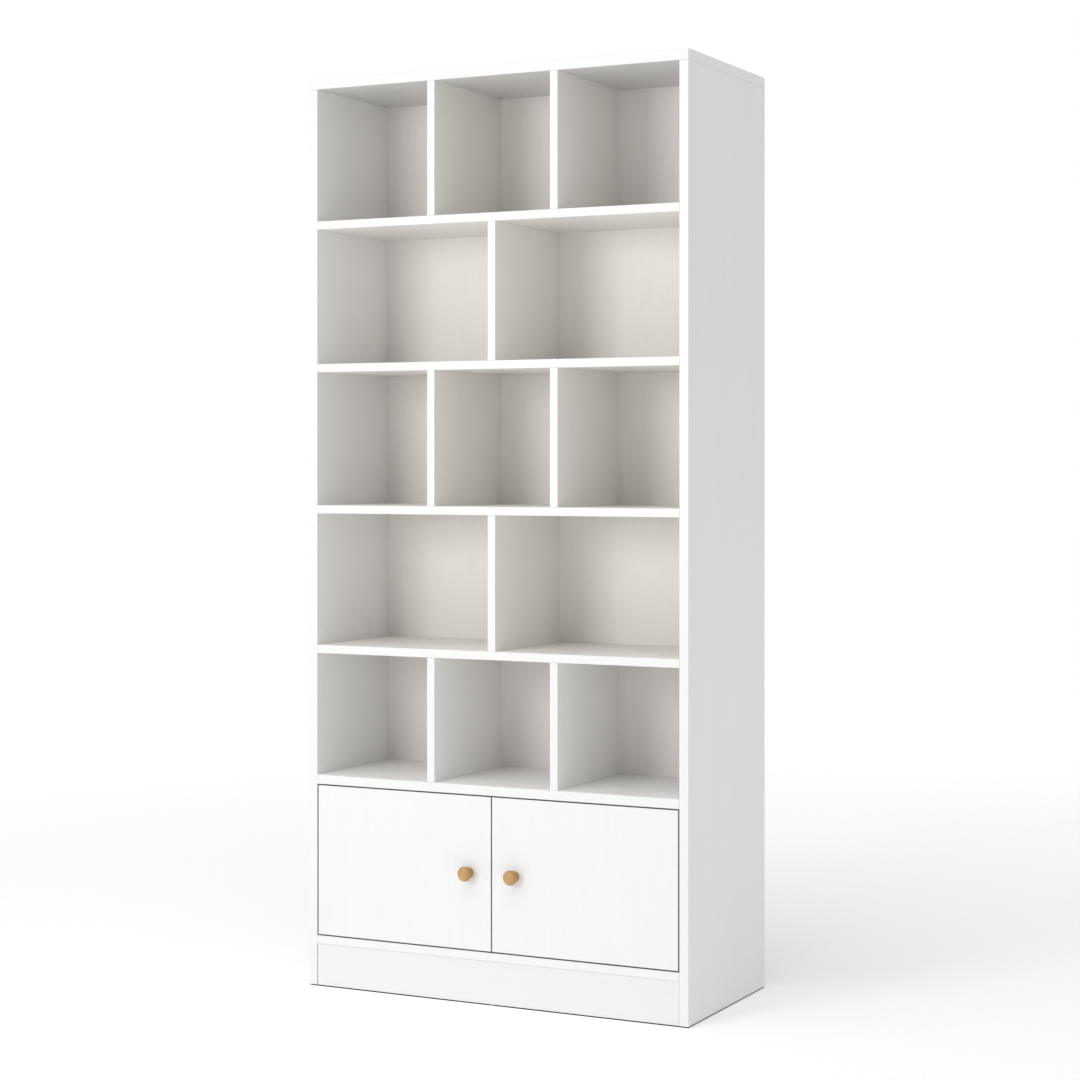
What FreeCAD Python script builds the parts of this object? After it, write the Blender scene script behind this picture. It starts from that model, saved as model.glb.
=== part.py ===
import FreeCAD, Part
import math
import os
import re

import Sketcher
from FreeCAD import Placement, Rotation, Vector

# A free-standing bookcase with two inset doors at the bottom.
#
# Frame: +Z up, millimetres, front towards -Y.  The origin is on the floor, under the middle of
# the space that the bookcase fills, knobs included.  The rows are counted from the top: row 1 is
# the highest, row 5 stands on the cabinet.  Rows 1, 3 and 5 have three spaces, rows 2 and 4 two.

# ---------------------------------------------------------------- driving dimensions

SIZES = [
    # carcass
    ("width", 800, "overall width"),
    ("depth", 375, "depth of the carcass, without the knobs"),
    ("side_thick", 18, "side panels"),
    ("top_thick", 20, "top panel, which lies on the side panels"),
    ("bottom_thick", 16, "floor of the cabinet"),
    ("cabinet_top_thick", 18, "shelf 5, the roof of the cabinet"),
    ("shelf_thick", 16, "shelves 1 to 4"),
    ("divider_thick", 16, "upright dividers and the partition"),
    ("rail_thick", 16, "kick board and rear rail of the plinth"),
    ("edge_round", 0.8, "rounding of the banded front edges"),
    # heights, from the floor up
    ("glide_thick", 2, "plastic glides under the panels"),
    ("plinth_height", 80, "kick board"),
    ("cabinet_height", 294, "door opening"),
    ("row_five", 236, "clear height of row 5"),
    ("row_four", 255, "clear height of row 4"),
    ("row_three", 258, "clear height of row 3"),
    ("row_two", 261, "clear height of row 2"),
    ("row_one", 256, "clear height of row 1"),
    # back
    ("back_thick", 3, "hardboard sheets"),
    ("back_inset", 100, "from the sheets to the wall side, room for a skirting board and cables"),
    ("groove_deep", 8, "groove for the sheets"),
    ("groove_slack", 0.1, "play of a sheet in its groove, each side"),
    ("sheet_slack", 0.5, "play at the bottom of the groove"),
    ("strip_web", 1.2, "web of the joining strip between two sheets"),
    ("strip_wing", 0.8, "wings of the joining strip"),
    ("strip_high", 13, "height of the wings"),
    ("strip_room", 1, "shelf cut back to leave room for the strip"),
    ("strip_gap", 0.05, "play between wing and sheet"),
    # doors
    ("door_thick", 16, "doors"),
    ("door_gap", 2.5, "gap round and between the doors"),
    ("partition_back", 3, "from the back of the doors to the partition"),
    # cam joints, dowels and screws
    ("joint_inset", 45, "joints from the front and rear edges"),
    ("joint_step", 32, "from a cam bolt to its dowel"),
    ("plinth_step", 24, "the same on the upright ends of the plinth boards"),
    ("cam_back", 24, "centre of a cam from the end of its board"),
    ("cam_wide", 14.8, "cam lock"),
    ("cam_bore", 15, "bore for a cam lock"),
    ("cam_high", 12, "height of a cam lock"),
    ("cam_over", 4.5, "bore depth past the middle of the board"),
    ("cam_slot", 5.4, "slot in a cam for the neck of its bolt"),
    ("cam_hollow", 8, "hollow in a cam for the head of its bolt"),
    ("driver_slot_long", 10.8, "slot in a cam for the screwdriver"),
    ("driver_slot_wide", 1.4, "width of that slot"),
    ("bolt_thread", 5, "threaded end of a cam bolt"),
    ("bolt_shank", 6.8, "shank of a cam bolt"),
    ("bolt_neck", 4, "neck of a cam bolt"),
    ("bolt_head", 7, "head of a cam bolt"),
    ("bolt_sunk", 11, "threaded length in the side panel"),
    ("bolt_shank_long", 16.5, "length of the shank"),
    ("bolt_neck_long", 6, "length of the neck"),
    ("bolt_head_long", 3, "length of the head"),
    ("fit_slack", 0.1, "play across a bolt, nail or pin in its hole"),
    ("end_bore", 8, "bores in the end of a board"),
    ("end_bore_deep", 21, "depth of those bores"),
    ("dowel_wide", 7.9, "wooden dowel"),
    ("dowel_short", 10, "length of a dowel in the face of a board"),
    ("dowel_long", 20, "length of a dowel in the end of a board"),
    ("dowel_bevel", 1, "bevel on the ends of a dowel"),
    ("bore_spare", 1, "depth of a blind bore past the end of what fills it"),
    ("screw_inset", 60, "divider screws and dowels from the front and rear edges"),
    ("screw_long", 50, "panel screw"),
    ("screw_wide", 6.8, "panel screw across its thread"),
    ("screw_bore", 7, "bore for a panel screw"),
    ("head_wide", 10, "head of a panel screw"),
    ("head_bore", 10.2, "recess for that head"),
    ("head_deep", 3.5, "height of that head"),
    ("key_wide", 4, "socket for the key"),
    ("key_deep", 2.5, "depth of the socket"),
    ("slot_share", 0.8, "slot in a standing screw head, as a share of the head's diameter"),
    ("slot_wide", 1.2, "width of that slot"),
    ("cap_wide", 16, "cover cap"),
    ("cap_thick", 1, "height of a cover cap"),
    ("cap_round", 0.4, "rounding of a cover cap"),
    # nails and glides
    ("nail_wide", 1.6, "nail"),
    ("nail_long", 18, "nail under its head"),
    ("nail_head", 4, "head of a nail"),
    ("nail_head_thick", 0.6, "height of that head"),
    ("nail_inset", 90, "first nail from the end of a shelf"),
    ("glide_wide", 14, "glide"),
    ("spike_wide", 1.8, "spike of a glide"),
    ("spike_long", 12, "length of the spike"),
    ("glide_inset", 40, "glides from the front and rear edges"),
    # knobs
    ("knob_reach", 28, "from the door to the tip of the knob"),
    ("knob_across", 48, "centre of a knob from the middle of the bookcase"),
    ("knob_head", 14, "radius of the head"),
    ("knob_rim", 4.5, "radius of the rounded rim of the head"),
    ("knob_rim_reach", 18, "from the door to the widest part of the head"),
    ("knob_neck", 8, "radius of the neck"),
    ("knob_hollow", 6, "radius of the hollow curve of the neck"),
    ("knob_foot", 3.5, "straight edge at the foot"),
    ("knob_screw", 4, "screw in the knob"),
    ("knob_screw_bore", 4.2, "bore for it"),
    ("knob_screw_deep", 14, "length of the screw in the knob"),
    ("knob_screw_head", 8, "head of that screw"),
    ("knob_screw_head_thick", 2.4, "height of that head"),
    # concealed hinges: across is measured from the inner face of the side panel, deep from the
    # front of the carcass
    ("hinge_inset", 60, "hinges from the upper and lower edges of the door"),
    ("cup_across", 25, "centre of the cup"),
    ("cup_wide", 34.9, "cup"),
    ("cup_bore", 35, "bore for the cup"),
    ("cup_bore_deep", 11.5, "depth of that bore"),
    ("cup_deep", 11.4, "depth of the cup"),
    ("cup_hollow", 33, "inside of the cup"),
    ("cup_floor", 0.8, "floor of the cup"),
    ("flange_thick", 1, "flange on the back of the door"),
    ("flange_round", 20, "radius of the flange round the cup"),
    ("wing_step", 6, "screws in the flange, past the centre of the cup"),
    ("wing_apart", 24, "screws in the flange, above and below the centre"),
    ("wing_end", 5, "radius of the ends of the flange"),
    ("cup_screw", 3.5, "screws in the flange"),
    ("cup_screw_bore", 3.7, "bore for them"),
    ("cup_screw_long", 11, "length under the head"),
    ("cup_screw_head", 6.5, "head of these screws"),
    ("cup_screw_head_thick", 1.8, "height of that head"),
    ("pin_across", 20, "hinge pin"),
    ("pin_deep", 8, "hinge pin"),
    ("pin_wide", 3, "diameter of the hinge pin"),
    ("pin_half", 16.3, "half the length of the hinge pin"),
    ("pin_play", 0.05, "radial running play of the pin in the cup"),
    ("eye_radius", 2.2, "eye of the hinge arm, round the pin"),
    ("arm_thick", 2, "strip of the hinge arm"),
    ("arm_high", 12, "width of that strip"),
    ("neck_across", 37.5, "gooseneck, where it leaves the cup"),
    ("neck_low", 17.4, "gooseneck, lower bend"),
    ("neck_high", 26, "gooseneck, upper bend"),
    ("crown_across", 33.5, "gooseneck, start of the crown"),
    ("crown_deep", 30.2, "gooseneck, crown"),
    ("bend_across", 12.5, "gooseneck, end of the crown"),
    ("rail_across", 7, "part of the arm that lies on the plate"),
    ("rail_start", 38, "start of that part"),
    ("rail_end", 78, "end of that part"),
    ("plate_thick", 2, "wings of the mounting plate"),
    ("plate_start", 45, "front edge of the wings"),
    ("plate_wide", 16, "wings, front to rear"),
    ("plate_high", 50, "wings, top to bottom"),
    ("plate_round", 4, "rounding of the wings' corners"),
    ("plate_block", 6, "height of the block under the arm"),
    ("block_start", 40, "front end of the block"),
    ("block_end", 77, "rear end of the block"),
    ("plate_hole_apart", 32, "screws of the mounting plate, one above the other"),
    ("plate_screw", 5, "screws of the mounting plate"),
    ("plate_screw_bore", 5.2, "bore for them"),
    ("plate_screw_long", 12, "length under the plate"),
    ("plate_screw_head", 8, "head of these screws"),
    ("plate_screw_head_thick", 2.2, "height of that head"),
    # magnetic catches
    ("catch_across", 34, "centre of a catch from the middle of the bookcase"),
    ("catch_wide", 40, "housing, side to side"),
    ("catch_long", 15, "housing, front to rear"),
    ("catch_high", 13, "housing, top to bottom"),
    ("catch_pin", 3, "pins on top of the housing"),
    ("catch_pin_long", 8, "length of the pins"),
    ("catch_pin_apart", 26, "from one pin to the other"),
    ("magnet_wide", 30, "magnet, side to side"),
    ("magnet_long", 8, "magnet, front to rear"),
    ("magnet_high", 7, "magnet, top to bottom"),
    ("magnet_out", 1, "magnet standing out of the housing"),
    ("strike_thick", 1, "strike plate on the door"),
    ("strike_gap", 0.3, "from the magnet to the strike plate"),
    ("strike_wide", 32, "strike plate, side to side"),
    ("strike_high", 9, "strike plate, top to bottom"),
    ("strike_drop", 5.5, "centre of the strike plate under the top edge of the door"),
    ("prong_wide", 2, "prongs of the strike plate"),
    ("prong_long", 6, "length of the prongs"),
    ("prong_apart", 22, "from one prong to the other"),
    # wall brackets
    ("bracket_apart", 600, "from one bracket to the other"),
    ("bracket_wide", 20, "bracket, side to side"),
    ("bracket_thick", 2, "steel of the bracket"),
    ("bracket_round", 5, "rounding of the bracket's corners"),
    ("bracket_flat", 32, "leg on the top panel"),
    ("bracket_rise", 26, "leg against the wall"),
    ("bracket_hole", 5, "hole for the wall screw"),
    ("bracket_hole_rise", 16, "that hole above the top panel"),
    ("bracket_screw", 4, "screw in the top panel"),
    ("bracket_screw_bore", 4.2, "bore for it"),
    ("bracket_screw_long", 12, "length of that screw in the panel"),
    ("bracket_screw_head", 8, "head of that screw"),
    ("bracket_screw_head_thick", 2.4, "height of that head"),
    ("bracket_screw_step", 18, "that screw from the wall side"),
]

# Places that many pieces share, as expressions in the words of the sheet.
FRONT = "(knob_reach - depth) / 2"
INNER_WIDE = "(width - 2 * side_thick)"
INNER_DEEP = "(depth - back_inset - back_thick)"
THIRD = "(width - 2 * side_thick - 2 * divider_thick) / 3"
DOOR_WIDE = "(width - 2 * side_thick - 3 * door_gap) / 2"
DOOR_HIGH = "(cabinet_height - 2 * door_gap)"
SETBACK = "(door_thick + partition_back)"

# What stands on what, from the floor up: the name of a board or space and its height.
STACK = [
    ("glides", "glide_thick"),
    ("plinth", "plinth_height"),
    ("bottom_panel", "bottom_thick"),
    ("cabinet", "cabinet_height"),
    ("shelf_5", "cabinet_top_thick"),
    ("row_5", "row_five"),
    ("shelf_4", "shelf_thick"),
    ("row_4", "row_four"),
    ("shelf_3", "shelf_thick"),
    ("row_3", "row_three"),
    ("shelf_2", "shelf_thick"),
    ("row_2", "row_two"),
    ("shelf_1", "shelf_thick"),
    ("row_1", "row_one"),
    ("top_panel", "top_thick"),
]

doc = FreeCAD.newDocument("Bookcase")


def fill_sheet():
    """Write every driving dimension as a plain number with its own alias."""
    cells = doc.addObject("Spreadsheet::Sheet", "Sizes")
    for row, (alias, value, meaning) in enumerate(SIZES, start=1):
        cells.set(f"A{row}", meaning)
        cells.set(f"B{row}", str(value))
        cells.setAlias(f"B{row}", alias)
    doc.recompute()
    return cells


sheet = fill_sheet()
ALIASES = {alias for alias, value, meaning in SIZES}


def bound(text):
    """Turn words of the sheet into references to its cells."""
    return re.sub(r"[a-z_]+", lambda word: "Sizes." + word[0] if word[0] in ALIASES else word[0], text)


def number(text):
    """Work out an expression in the words of the sheet."""
    return float(sheet.evalExpression(bound(text)))


def levels():
    """Height of the underside of each board and space, as an expression."""
    under = {}
    reached = "0"
    for name, high in STACK:
        under[name] = reached
        reached = f"{reached} + {high}"
    return under


UNDER = levels()
HIGH = dict(STACK)


def middle(name):
    """Height of the middle of a board in the stack."""
    return f"({UNDER[name]} + {HIGH[name]} / 2)"


# ---------------------------------------------------------------- sketch and feature helpers

# Each face of a board: origin plane, which size of the board the plane is moved by and in which
# sense, and whether a pocket has to be reversed to cut into the board.
FACES = {
    "bottom": ("XY_Plane", None, "", True),
    "top": ("XY_Plane", 2, "", False),
    "front": ("XZ_Plane", None, "", False),
    "rear": ("XZ_Plane", 1, "-", True),
    "left": ("YZ_Plane", None, "", True),
    "right": ("YZ_Plane", 0, "", False),
}

TOUCHING = 1e-6  # mm, two places closer than this are one place
CUT_AT_LEAST = 1e-3  # mm3, less than this and a cut has missed the board
STRAIGHT = 0.999  # share of an edge's length along an axis, for an edge that runs along it

boards = {}


def place(thing, where):
    """Bind the place of an object to three expressions."""
    for axis, text in zip("xyz", where):
        thing.setExpression(f"Placement.Base.{axis}", bound(text))


def new_body(label, where=("0", "0", "0"), turn=None):
    """Start a body, placed by expressions and turned by a fixed rotation."""
    body = doc.addObject("PartDesign::Body", label)
    body.Label = label
    if turn:
        body.Placement = Placement(Vector(), turn)
    place(body, where)
    return body


def new_sketch(body, plane, offset=None):
    """Add a sketch on an origin plane of the body, moved along the plane's normal."""
    support = next(item for item in body.Origin.OriginFeatures if item.Role == plane)
    drawing = body.newObject("Sketcher::SketchObject", body.Name + "_sketch")
    drawing.AttachmentSupport = (support, [""])
    drawing.MapMode = "FlatFace"
    if offset:
        drawing.setExpression("AttachmentOffset.Base.z", bound(offset))
    return drawing


def hold(drawing, kind, *rest, to):
    """Add a constraint that measures, bound to an expression."""
    index = drawing.addConstraint(Sketcher.Constraint(kind, *rest, number(to)))
    drawing.setExpression(f"Constraints[{index}]", bound(to))


def draw_rectangle(drawing, corner, size):
    """Draw a rectangle from its lower left corner and its two sides."""
    left, low = (number(text) for text in corner)
    right, high = left + number(size[0]), low + number(size[1])
    points = [Vector(left, low, 0), Vector(right, low, 0), Vector(right, high, 0), Vector(left, high, 0)]
    lines = [drawing.addGeometry(Part.LineSegment(points[n], points[(n + 1) % 4])) for n in range(4)]
    for n in range(4):
        drawing.addConstraint(Sketcher.Constraint("Coincident", lines[n], 2, lines[(n + 1) % 4], 1))
        kind = "Horizontal" if n % 2 == 0 else "Vertical"
        drawing.addConstraint(Sketcher.Constraint(kind, lines[n]))
    hold(drawing, "DistanceX", -1, 1, lines[0], 1, to=corner[0])
    hold(drawing, "DistanceY", -1, 1, lines[0], 1, to=corner[1])
    hold(drawing, "DistanceX", lines[0], 1, lines[0], 2, to=size[0])
    hold(drawing, "DistanceY", lines[1], 1, lines[1], 2, to=size[1])


def draw_circle(drawing, spot, wide):
    """Draw a circle from its centre and its diameter."""
    centre = Vector(number(spot[0]), number(spot[1]), 0)
    ring = drawing.addGeometry(Part.Circle(centre, Vector(0, 0, 1), number(wide) / 2))
    hold(drawing, "DistanceX", -1, 1, ring, 3, to=spot[0])
    hold(drawing, "DistanceY", -1, 1, ring, 3, to=spot[1])
    hold(drawing, "Diameter", ring, to=wide)


def draw_outline(drawing, points):
    """Draw a closed outline of straight lines through points given as expressions."""
    places = [Vector(number(across), number(up), 0) for across, up in points]
    count = len(points)
    lines = [drawing.addGeometry(Part.LineSegment(places[n], places[(n + 1) % count])) for n in range(count)]
    for n, (across, up) in enumerate(points):
        drawing.addConstraint(Sketcher.Constraint("Coincident", lines[n - 1], 2, lines[n], 1))
        hold(drawing, "DistanceX", -1, 1, lines[n], 1, to=across)
        hold(drawing, "DistanceY", -1, 1, lines[n], 1, to=up)


def pad(body, drawing, length, turned=False):
    """Raise a sketch into a solid."""
    feature = body.newObject("PartDesign::Pad", body.Name + "_pad")
    feature.Profile = drawing
    feature.setExpression("Length", bound(length))
    feature.Reversed = turned
    return feature


def pocket(body, drawing, length, turned=False):
    """Cut a sketch into the solid."""
    feature = body.newObject("PartDesign::Pocket", body.Name + "_pocket")
    feature.Profile = drawing
    feature.setExpression("Length", bound(length))
    feature.Reversed = turned
    return feature


def turn_profile(body, drawing, axis):
    """Revolve a sketch through a full turn about one of its own axes."""
    feature = body.newObject("PartDesign::Revolution", body.Name + "_turning")
    feature.Profile = drawing
    feature.ReferenceAxis = (drawing, [axis])
    feature.Angle = 360
    return feature


def soften(body, feature, wanted, radius="edge_round"):
    """Round the edges of a feature that the test picks."""
    doc.recompute()
    names = [f"Edge{n}" for n, edge in enumerate(feature.Shape.Edges, start=1) if wanted(edge)]
    rounding = body.newObject("PartDesign::Fillet", body.Name + "_rounding")
    rounding.Base = (feature, names)
    rounding.setExpression("Radius", bound(radius))


def runs_along(edge, axis):
    """Tell whether a straight edge is parallel to X, Y or Z."""
    first, last = (vertex.Point for vertex in (edge.Vertexes[0], edge.Vertexes[-1]))
    step = last - first
    return abs(step[axis]) > STRAIGHT * step.Length > 0


def at_front(edge):
    """Tell whether an edge lies in the plane Y = 0 of its body."""
    return all(abs(vertex.Point.y) < TOUCHING for vertex in edge.Vertexes)


def board(label, size, corner, banded):
    """Make a board.  banded names the axes that its rounded front edges run along."""
    body = new_body(label, corner)
    drawing = new_sketch(body, "XY_Plane")
    draw_rectangle(drawing, ("0", "0"), size[:2])
    slab = pad(body, drawing, size[2])
    if banded:
        axes = ["XYZ".index(letter) for letter in banded]
        soften(body, slab, lambda edge: at_front(edge) and any(runs_along(edge, axis) for axis in axes))
    boards[label] = {"body": body, "size": size, "corner": corner}


def face_sketch(label, face):
    """Start a sketch on a face of a board."""
    plane, which, sign, turned = FACES[face]
    size = boards[label]["size"]
    offset = f"{sign}({size[which]})" if which is not None else None
    return new_sketch(boards[label]["body"], plane, offset), turned


def drill(label, face, spots, wide, deep):
    """Bore round holes into a face of a board, at spots measured from its lowest corner."""
    drawing, turned = face_sketch(label, face)
    for spot in spots:
        draw_circle(drawing, spot, wide)
    pocket(boards[label]["body"], drawing, deep, turned)


def mill(label, face, corner, size, deep):
    """Cut a rectangular groove into a face of a board."""
    drawing, turned = face_sketch(label, face)
    draw_rectangle(drawing, corner, size)
    pocket(boards[label]["body"], drawing, deep, turned)


def spot_of(label, local):
    """Place of a point that is given from a board's lowest corner."""
    return tuple(f"({start}) + ({step})" for start, step in zip(boards[label]["corner"], local))


# ---------------------------------------------------------------- boards

SIDES = ("left", "right")
INNER_FACE = {"left": "right", "right": "left"}
SHELVES = ["shelf_1", "shelf_2", "shelf_3", "shelf_4", "shelf_5"]
STRIP_SHELVES = ["shelf_2", "shelf_4"]

# Boards that the back is nailed to, and the sheet behind each.
NAIL_BOARDS = {"shelf_1": "back_sheet_upper", "shelf_3": "back_sheet_middle",
               "shelf_5": "back_sheet_lower", "bottom_panel": "back_sheet_lower"}
NAILS_ON_BOARD = 4

# Each upright: label, row it stands in, board above, board below, its left face, and whether its
# screws come from above.  Screw heads are on the side of a board that faces away from the eye.
UPRIGHTS = [
    ("divider_1_left", "row_1", "top_panel", "shelf_1", f"-{THIRD} / 2 - divider_thick", True),
    ("divider_1_right", "row_1", "top_panel", "shelf_1", f"{THIRD} / 2", True),
    ("divider_2", "row_2", "shelf_1", "shelf_2", "-divider_thick / 2", True),
    ("divider_3_left", "row_3", "shelf_2", "shelf_3", f"-{THIRD} / 2 - divider_thick", True),
    ("divider_3_right", "row_3", "shelf_2", "shelf_3", f"{THIRD} / 2", True),
    ("divider_4", "row_4", "shelf_3", "shelf_4", "-divider_thick / 2", False),
    ("divider_5_left", "row_5", "shelf_4", "shelf_5", f"-{THIRD} / 2 - divider_thick", False),
    ("divider_5_right", "row_5", "shelf_4", "shelf_5", f"{THIRD} / 2", False),
    ("cabinet_partition", "cabinet", "shelf_5", "bottom_panel", "-divider_thick / 2", False),
]


def make_side_panels():
    """Two uprights from the glides to the top panel, grooved for the back."""
    high = f"({UNDER['top_panel']} - glide_thick)"
    for side, left_face in (("left", "-width / 2"), ("right", "width / 2 - side_thick")):
        label = f"side_panel_{side}"
        board(label, ("side_thick", "depth", high), (left_face, FRONT, "glide_thick"), "Z")
        mill(label, INNER_FACE[side], (f"{INNER_DEEP} - groove_slack", "0"),
             ("back_thick + 2 * groove_slack", high), "groove_deep")


def make_top_panel():
    """A lid that lies on both side panels, grooved underneath for the back."""
    board("top_panel", ("width", "depth", "top_thick"), ("-width / 2", FRONT, UNDER["top_panel"]), "XZ")
    mill("top_panel", "bottom", ("side_thick - groove_deep", f"{INNER_DEEP} - groove_slack"),
         (f"{INNER_WIDE} + 2 * groove_deep", "back_thick + 2 * groove_slack"), "groove_deep")


def make_shelves():
    """Fixed shelves and the cabinet floor, each between the side panels."""
    for label in SHELVES + ["bottom_panel"]:
        deep = INNER_DEEP + (" - strip_room" if label in STRIP_SHELVES else "")
        board(label, (INNER_WIDE, deep, HIGH[label]), (f"-{INNER_WIDE} / 2", FRONT, UNDER[label]), "X")


def make_plinth():
    """Kick board at the front and a rail under the rear of the cabinet floor."""
    size = (INNER_WIDE, "rail_thick", "plinth_height")
    board("kick_board", size, (f"-{INNER_WIDE} / 2", FRONT, UNDER["plinth"]), "X")
    rear = f"{FRONT} + {INNER_DEEP} - rail_thick"
    board("plinth_rear_rail", size, (f"-{INNER_WIDE} / 2", rear, UNDER["plinth"]), "")


def make_uprights():
    """Dividers between the shelves, and the partition behind the meeting edges of the doors."""
    for label, row, above, below, left_face, from_above in UPRIGHTS:
        behind = SETBACK if row == "cabinet" else "0"
        board(label, ("divider_thick", f"{INNER_DEEP} - {behind}", HIGH[row]),
              (left_face, f"{FRONT} + {behind}", UNDER[row]), "Z")


def make_back():
    """Three hardboard sheets, one above the other, that slide up the grooves."""
    wide = f"({INNER_WIDE} + 2 * groove_deep - 2 * sheet_slack)"
    seams = {label: middle(label) for label in STRIP_SHELVES}
    spans = [
        ("back_sheet_lower", UNDER["bottom_panel"], f"{seams['shelf_4']} - strip_web"),
        ("back_sheet_middle", f"{seams['shelf_4']} + strip_web", f"{seams['shelf_2']} - strip_web"),
        ("back_sheet_upper", f"{seams['shelf_2']} + strip_web",
         f"{UNDER['top_panel']} + groove_deep - sheet_slack"),
    ]
    for label, low, high in spans:
        board(label, (wide, "back_thick", f"({high} - ({low}))"),
              (f"-{wide} / 2", f"{FRONT} + {INNER_DEEP}", low), "")


def make_doors():
    """Two doors set into the opening, flush with the front of the carcass."""
    low = f"{UNDER['cabinet']} + door_gap"
    for side, left_face in (("left", f"-{DOOR_WIDE} - door_gap / 2"), ("right", "door_gap / 2")):
        board(f"{side}_door", (DOOR_WIDE, "door_thick", DOOR_HIGH), (left_face, FRONT, low), "XZ")


# ---------------------------------------------------------------- pieces made once

# A piece that repeats is made once, in a frame of its own, and linked to each of its places.
# Fasteners point into their board along +X, with the origin on the surface that they go into.

AS_MADE = Rotation()
LEFTWARDS = Rotation(Vector(0, 0, 1), 180)
UPWARDS = Rotation(Vector(0, 1, 0), -90)
DOWNWARDS = Rotation(Vector(0, 1, 0), 90)
FORWARDS = Rotation(Vector(0, 0, 1), -90)
OTHER_HAND = Rotation(Vector(0, 1, 0), 180)
KEY_TURN = 15  # degrees that the socket of a panel screw is turned by


def turned_piece(label, steps):
    """Turn a round piece about X from steps of (start, end, diameter) that touch end to end."""
    body = new_body(label)
    drawing = new_sketch(body, "XY_Plane")
    points = [(steps[0][0], "0")]
    for start, end, wide in steps:
        points += [(start, f"{wide} / 2"), (end, f"{wide} / 2")]
    draw_outline(drawing, points + [(steps[-1][1], "0")])
    turn_profile(body, drawing, "H_Axis")
    return body


def headed_screw(label, head_wide, head_high, shank_wide, shank_long):
    """A screw with a round slotted head that stands on the surface."""
    body = turned_piece(label, [(f"-{head_high}", "0", head_wide), ("0", shank_long, shank_wide)])
    drawing = new_sketch(body, "YZ_Plane", f"-{head_high}")
    draw_rectangle(drawing, (f"-{head_wide} * slot_share / 2", "-slot_wide / 2"),
                   (f"{head_wide} * slot_share", "slot_wide"))
    pocket(body, drawing, f"{head_high} / 2", True)
    return body


def make_panel_screw():
    """A coarse screw whose head is sunk in the board, with a six-sided socket."""
    body = turned_piece("one_panel_screw", [("0", "head_deep", "head_wide"),
                                            ("head_deep", "screw_long", "screw_wide")])
    drawing = new_sketch(body, "YZ_Plane")
    turns = [KEY_TURN + 60 * corner for corner in range(6)]
    draw_outline(drawing, [(f"key_wide / sqrt(3) * cos({turn})", f"key_wide / sqrt(3) * sin({turn})")
                           for turn in turns])
    pocket(body, drawing, "key_deep", True)
    return body


def make_cam_lock():
    """A drum, hollow at its inner end for the bolt's head and slotted for its neck."""
    body = new_body("one_cam_lock")
    drawing = new_sketch(body, "XY_Plane")
    draw_circle(drawing, ("0", "0"), "cam_wide")
    pad(body, drawing, "cam_high")
    drawing = new_sketch(body, "XY_Plane", "cam_high")
    draw_circle(drawing, ("0", "0"), "cam_hollow")
    pocket(body, drawing, "cam_high - key_deep")
    drawing = new_sketch(body, "XY_Plane", "cam_high")
    draw_rectangle(drawing, ("-cam_wide / 2", "-cam_slot / 2"), ("cam_wide / 2", "cam_slot"))
    pocket(body, drawing, "cam_high - key_deep")
    drawing = new_sketch(body, "XY_Plane")
    draw_rectangle(drawing, ("-driver_slot_long / 2", "-driver_slot_wide / 2"),
                   ("driver_slot_long", "driver_slot_wide"))
    pocket(body, drawing, "key_deep / 2", True)
    return body


def make_cam_bolt():
    """Threaded end in the side panel, then shank, neck and head in the board."""
    neck_end = "bolt_shank_long + bolt_neck_long"
    return turned_piece("one_cam_bolt", [
        ("-bolt_sunk", "0", "bolt_thread"),
        ("0", "bolt_shank_long", "bolt_shank"),
        ("bolt_shank_long", neck_end, "bolt_neck"),
        (neck_end, f"{neck_end} + bolt_head_long", "bolt_head"),
    ])


def make_dowel():
    """A wooden peg with bevelled ends, partly in the face of a board, mostly in an end."""
    body = turned_piece("one_dowel", [("-dowel_short", "dowel_long", "dowel_wide")])
    doc.recompute()
    peg = body.Tip
    rounds = [f"Edge{n}" for n, edge in enumerate(peg.Shape.Edges, start=1)
              if isinstance(edge.Curve, Part.Circle)]
    bevel = body.newObject("PartDesign::Chamfer", "dowel_ends")
    bevel.Base = (peg, rounds)
    bevel.setExpression("Size", bound("dowel_bevel"))
    return body


def make_cover_cap():
    """A thin plastic disc with a rounded rim, over a cam or a screw head."""
    body = turned_piece("one_cover_cap", [("-cap_thick", "0", "cap_wide")])
    soften(body, body.Tip, lambda edge: isinstance(edge.Curve, Part.Circle) and edge.Curve.Center.x < 0,
           "cap_round")
    return body


def nearest_end(drawing, curve, point):
    """Tell which end of a curve, 1 or 2, is at a point."""
    return min((1, 2), key=lambda end: drawing.getPoint(curve, end).distanceToPoint(point))


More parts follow.
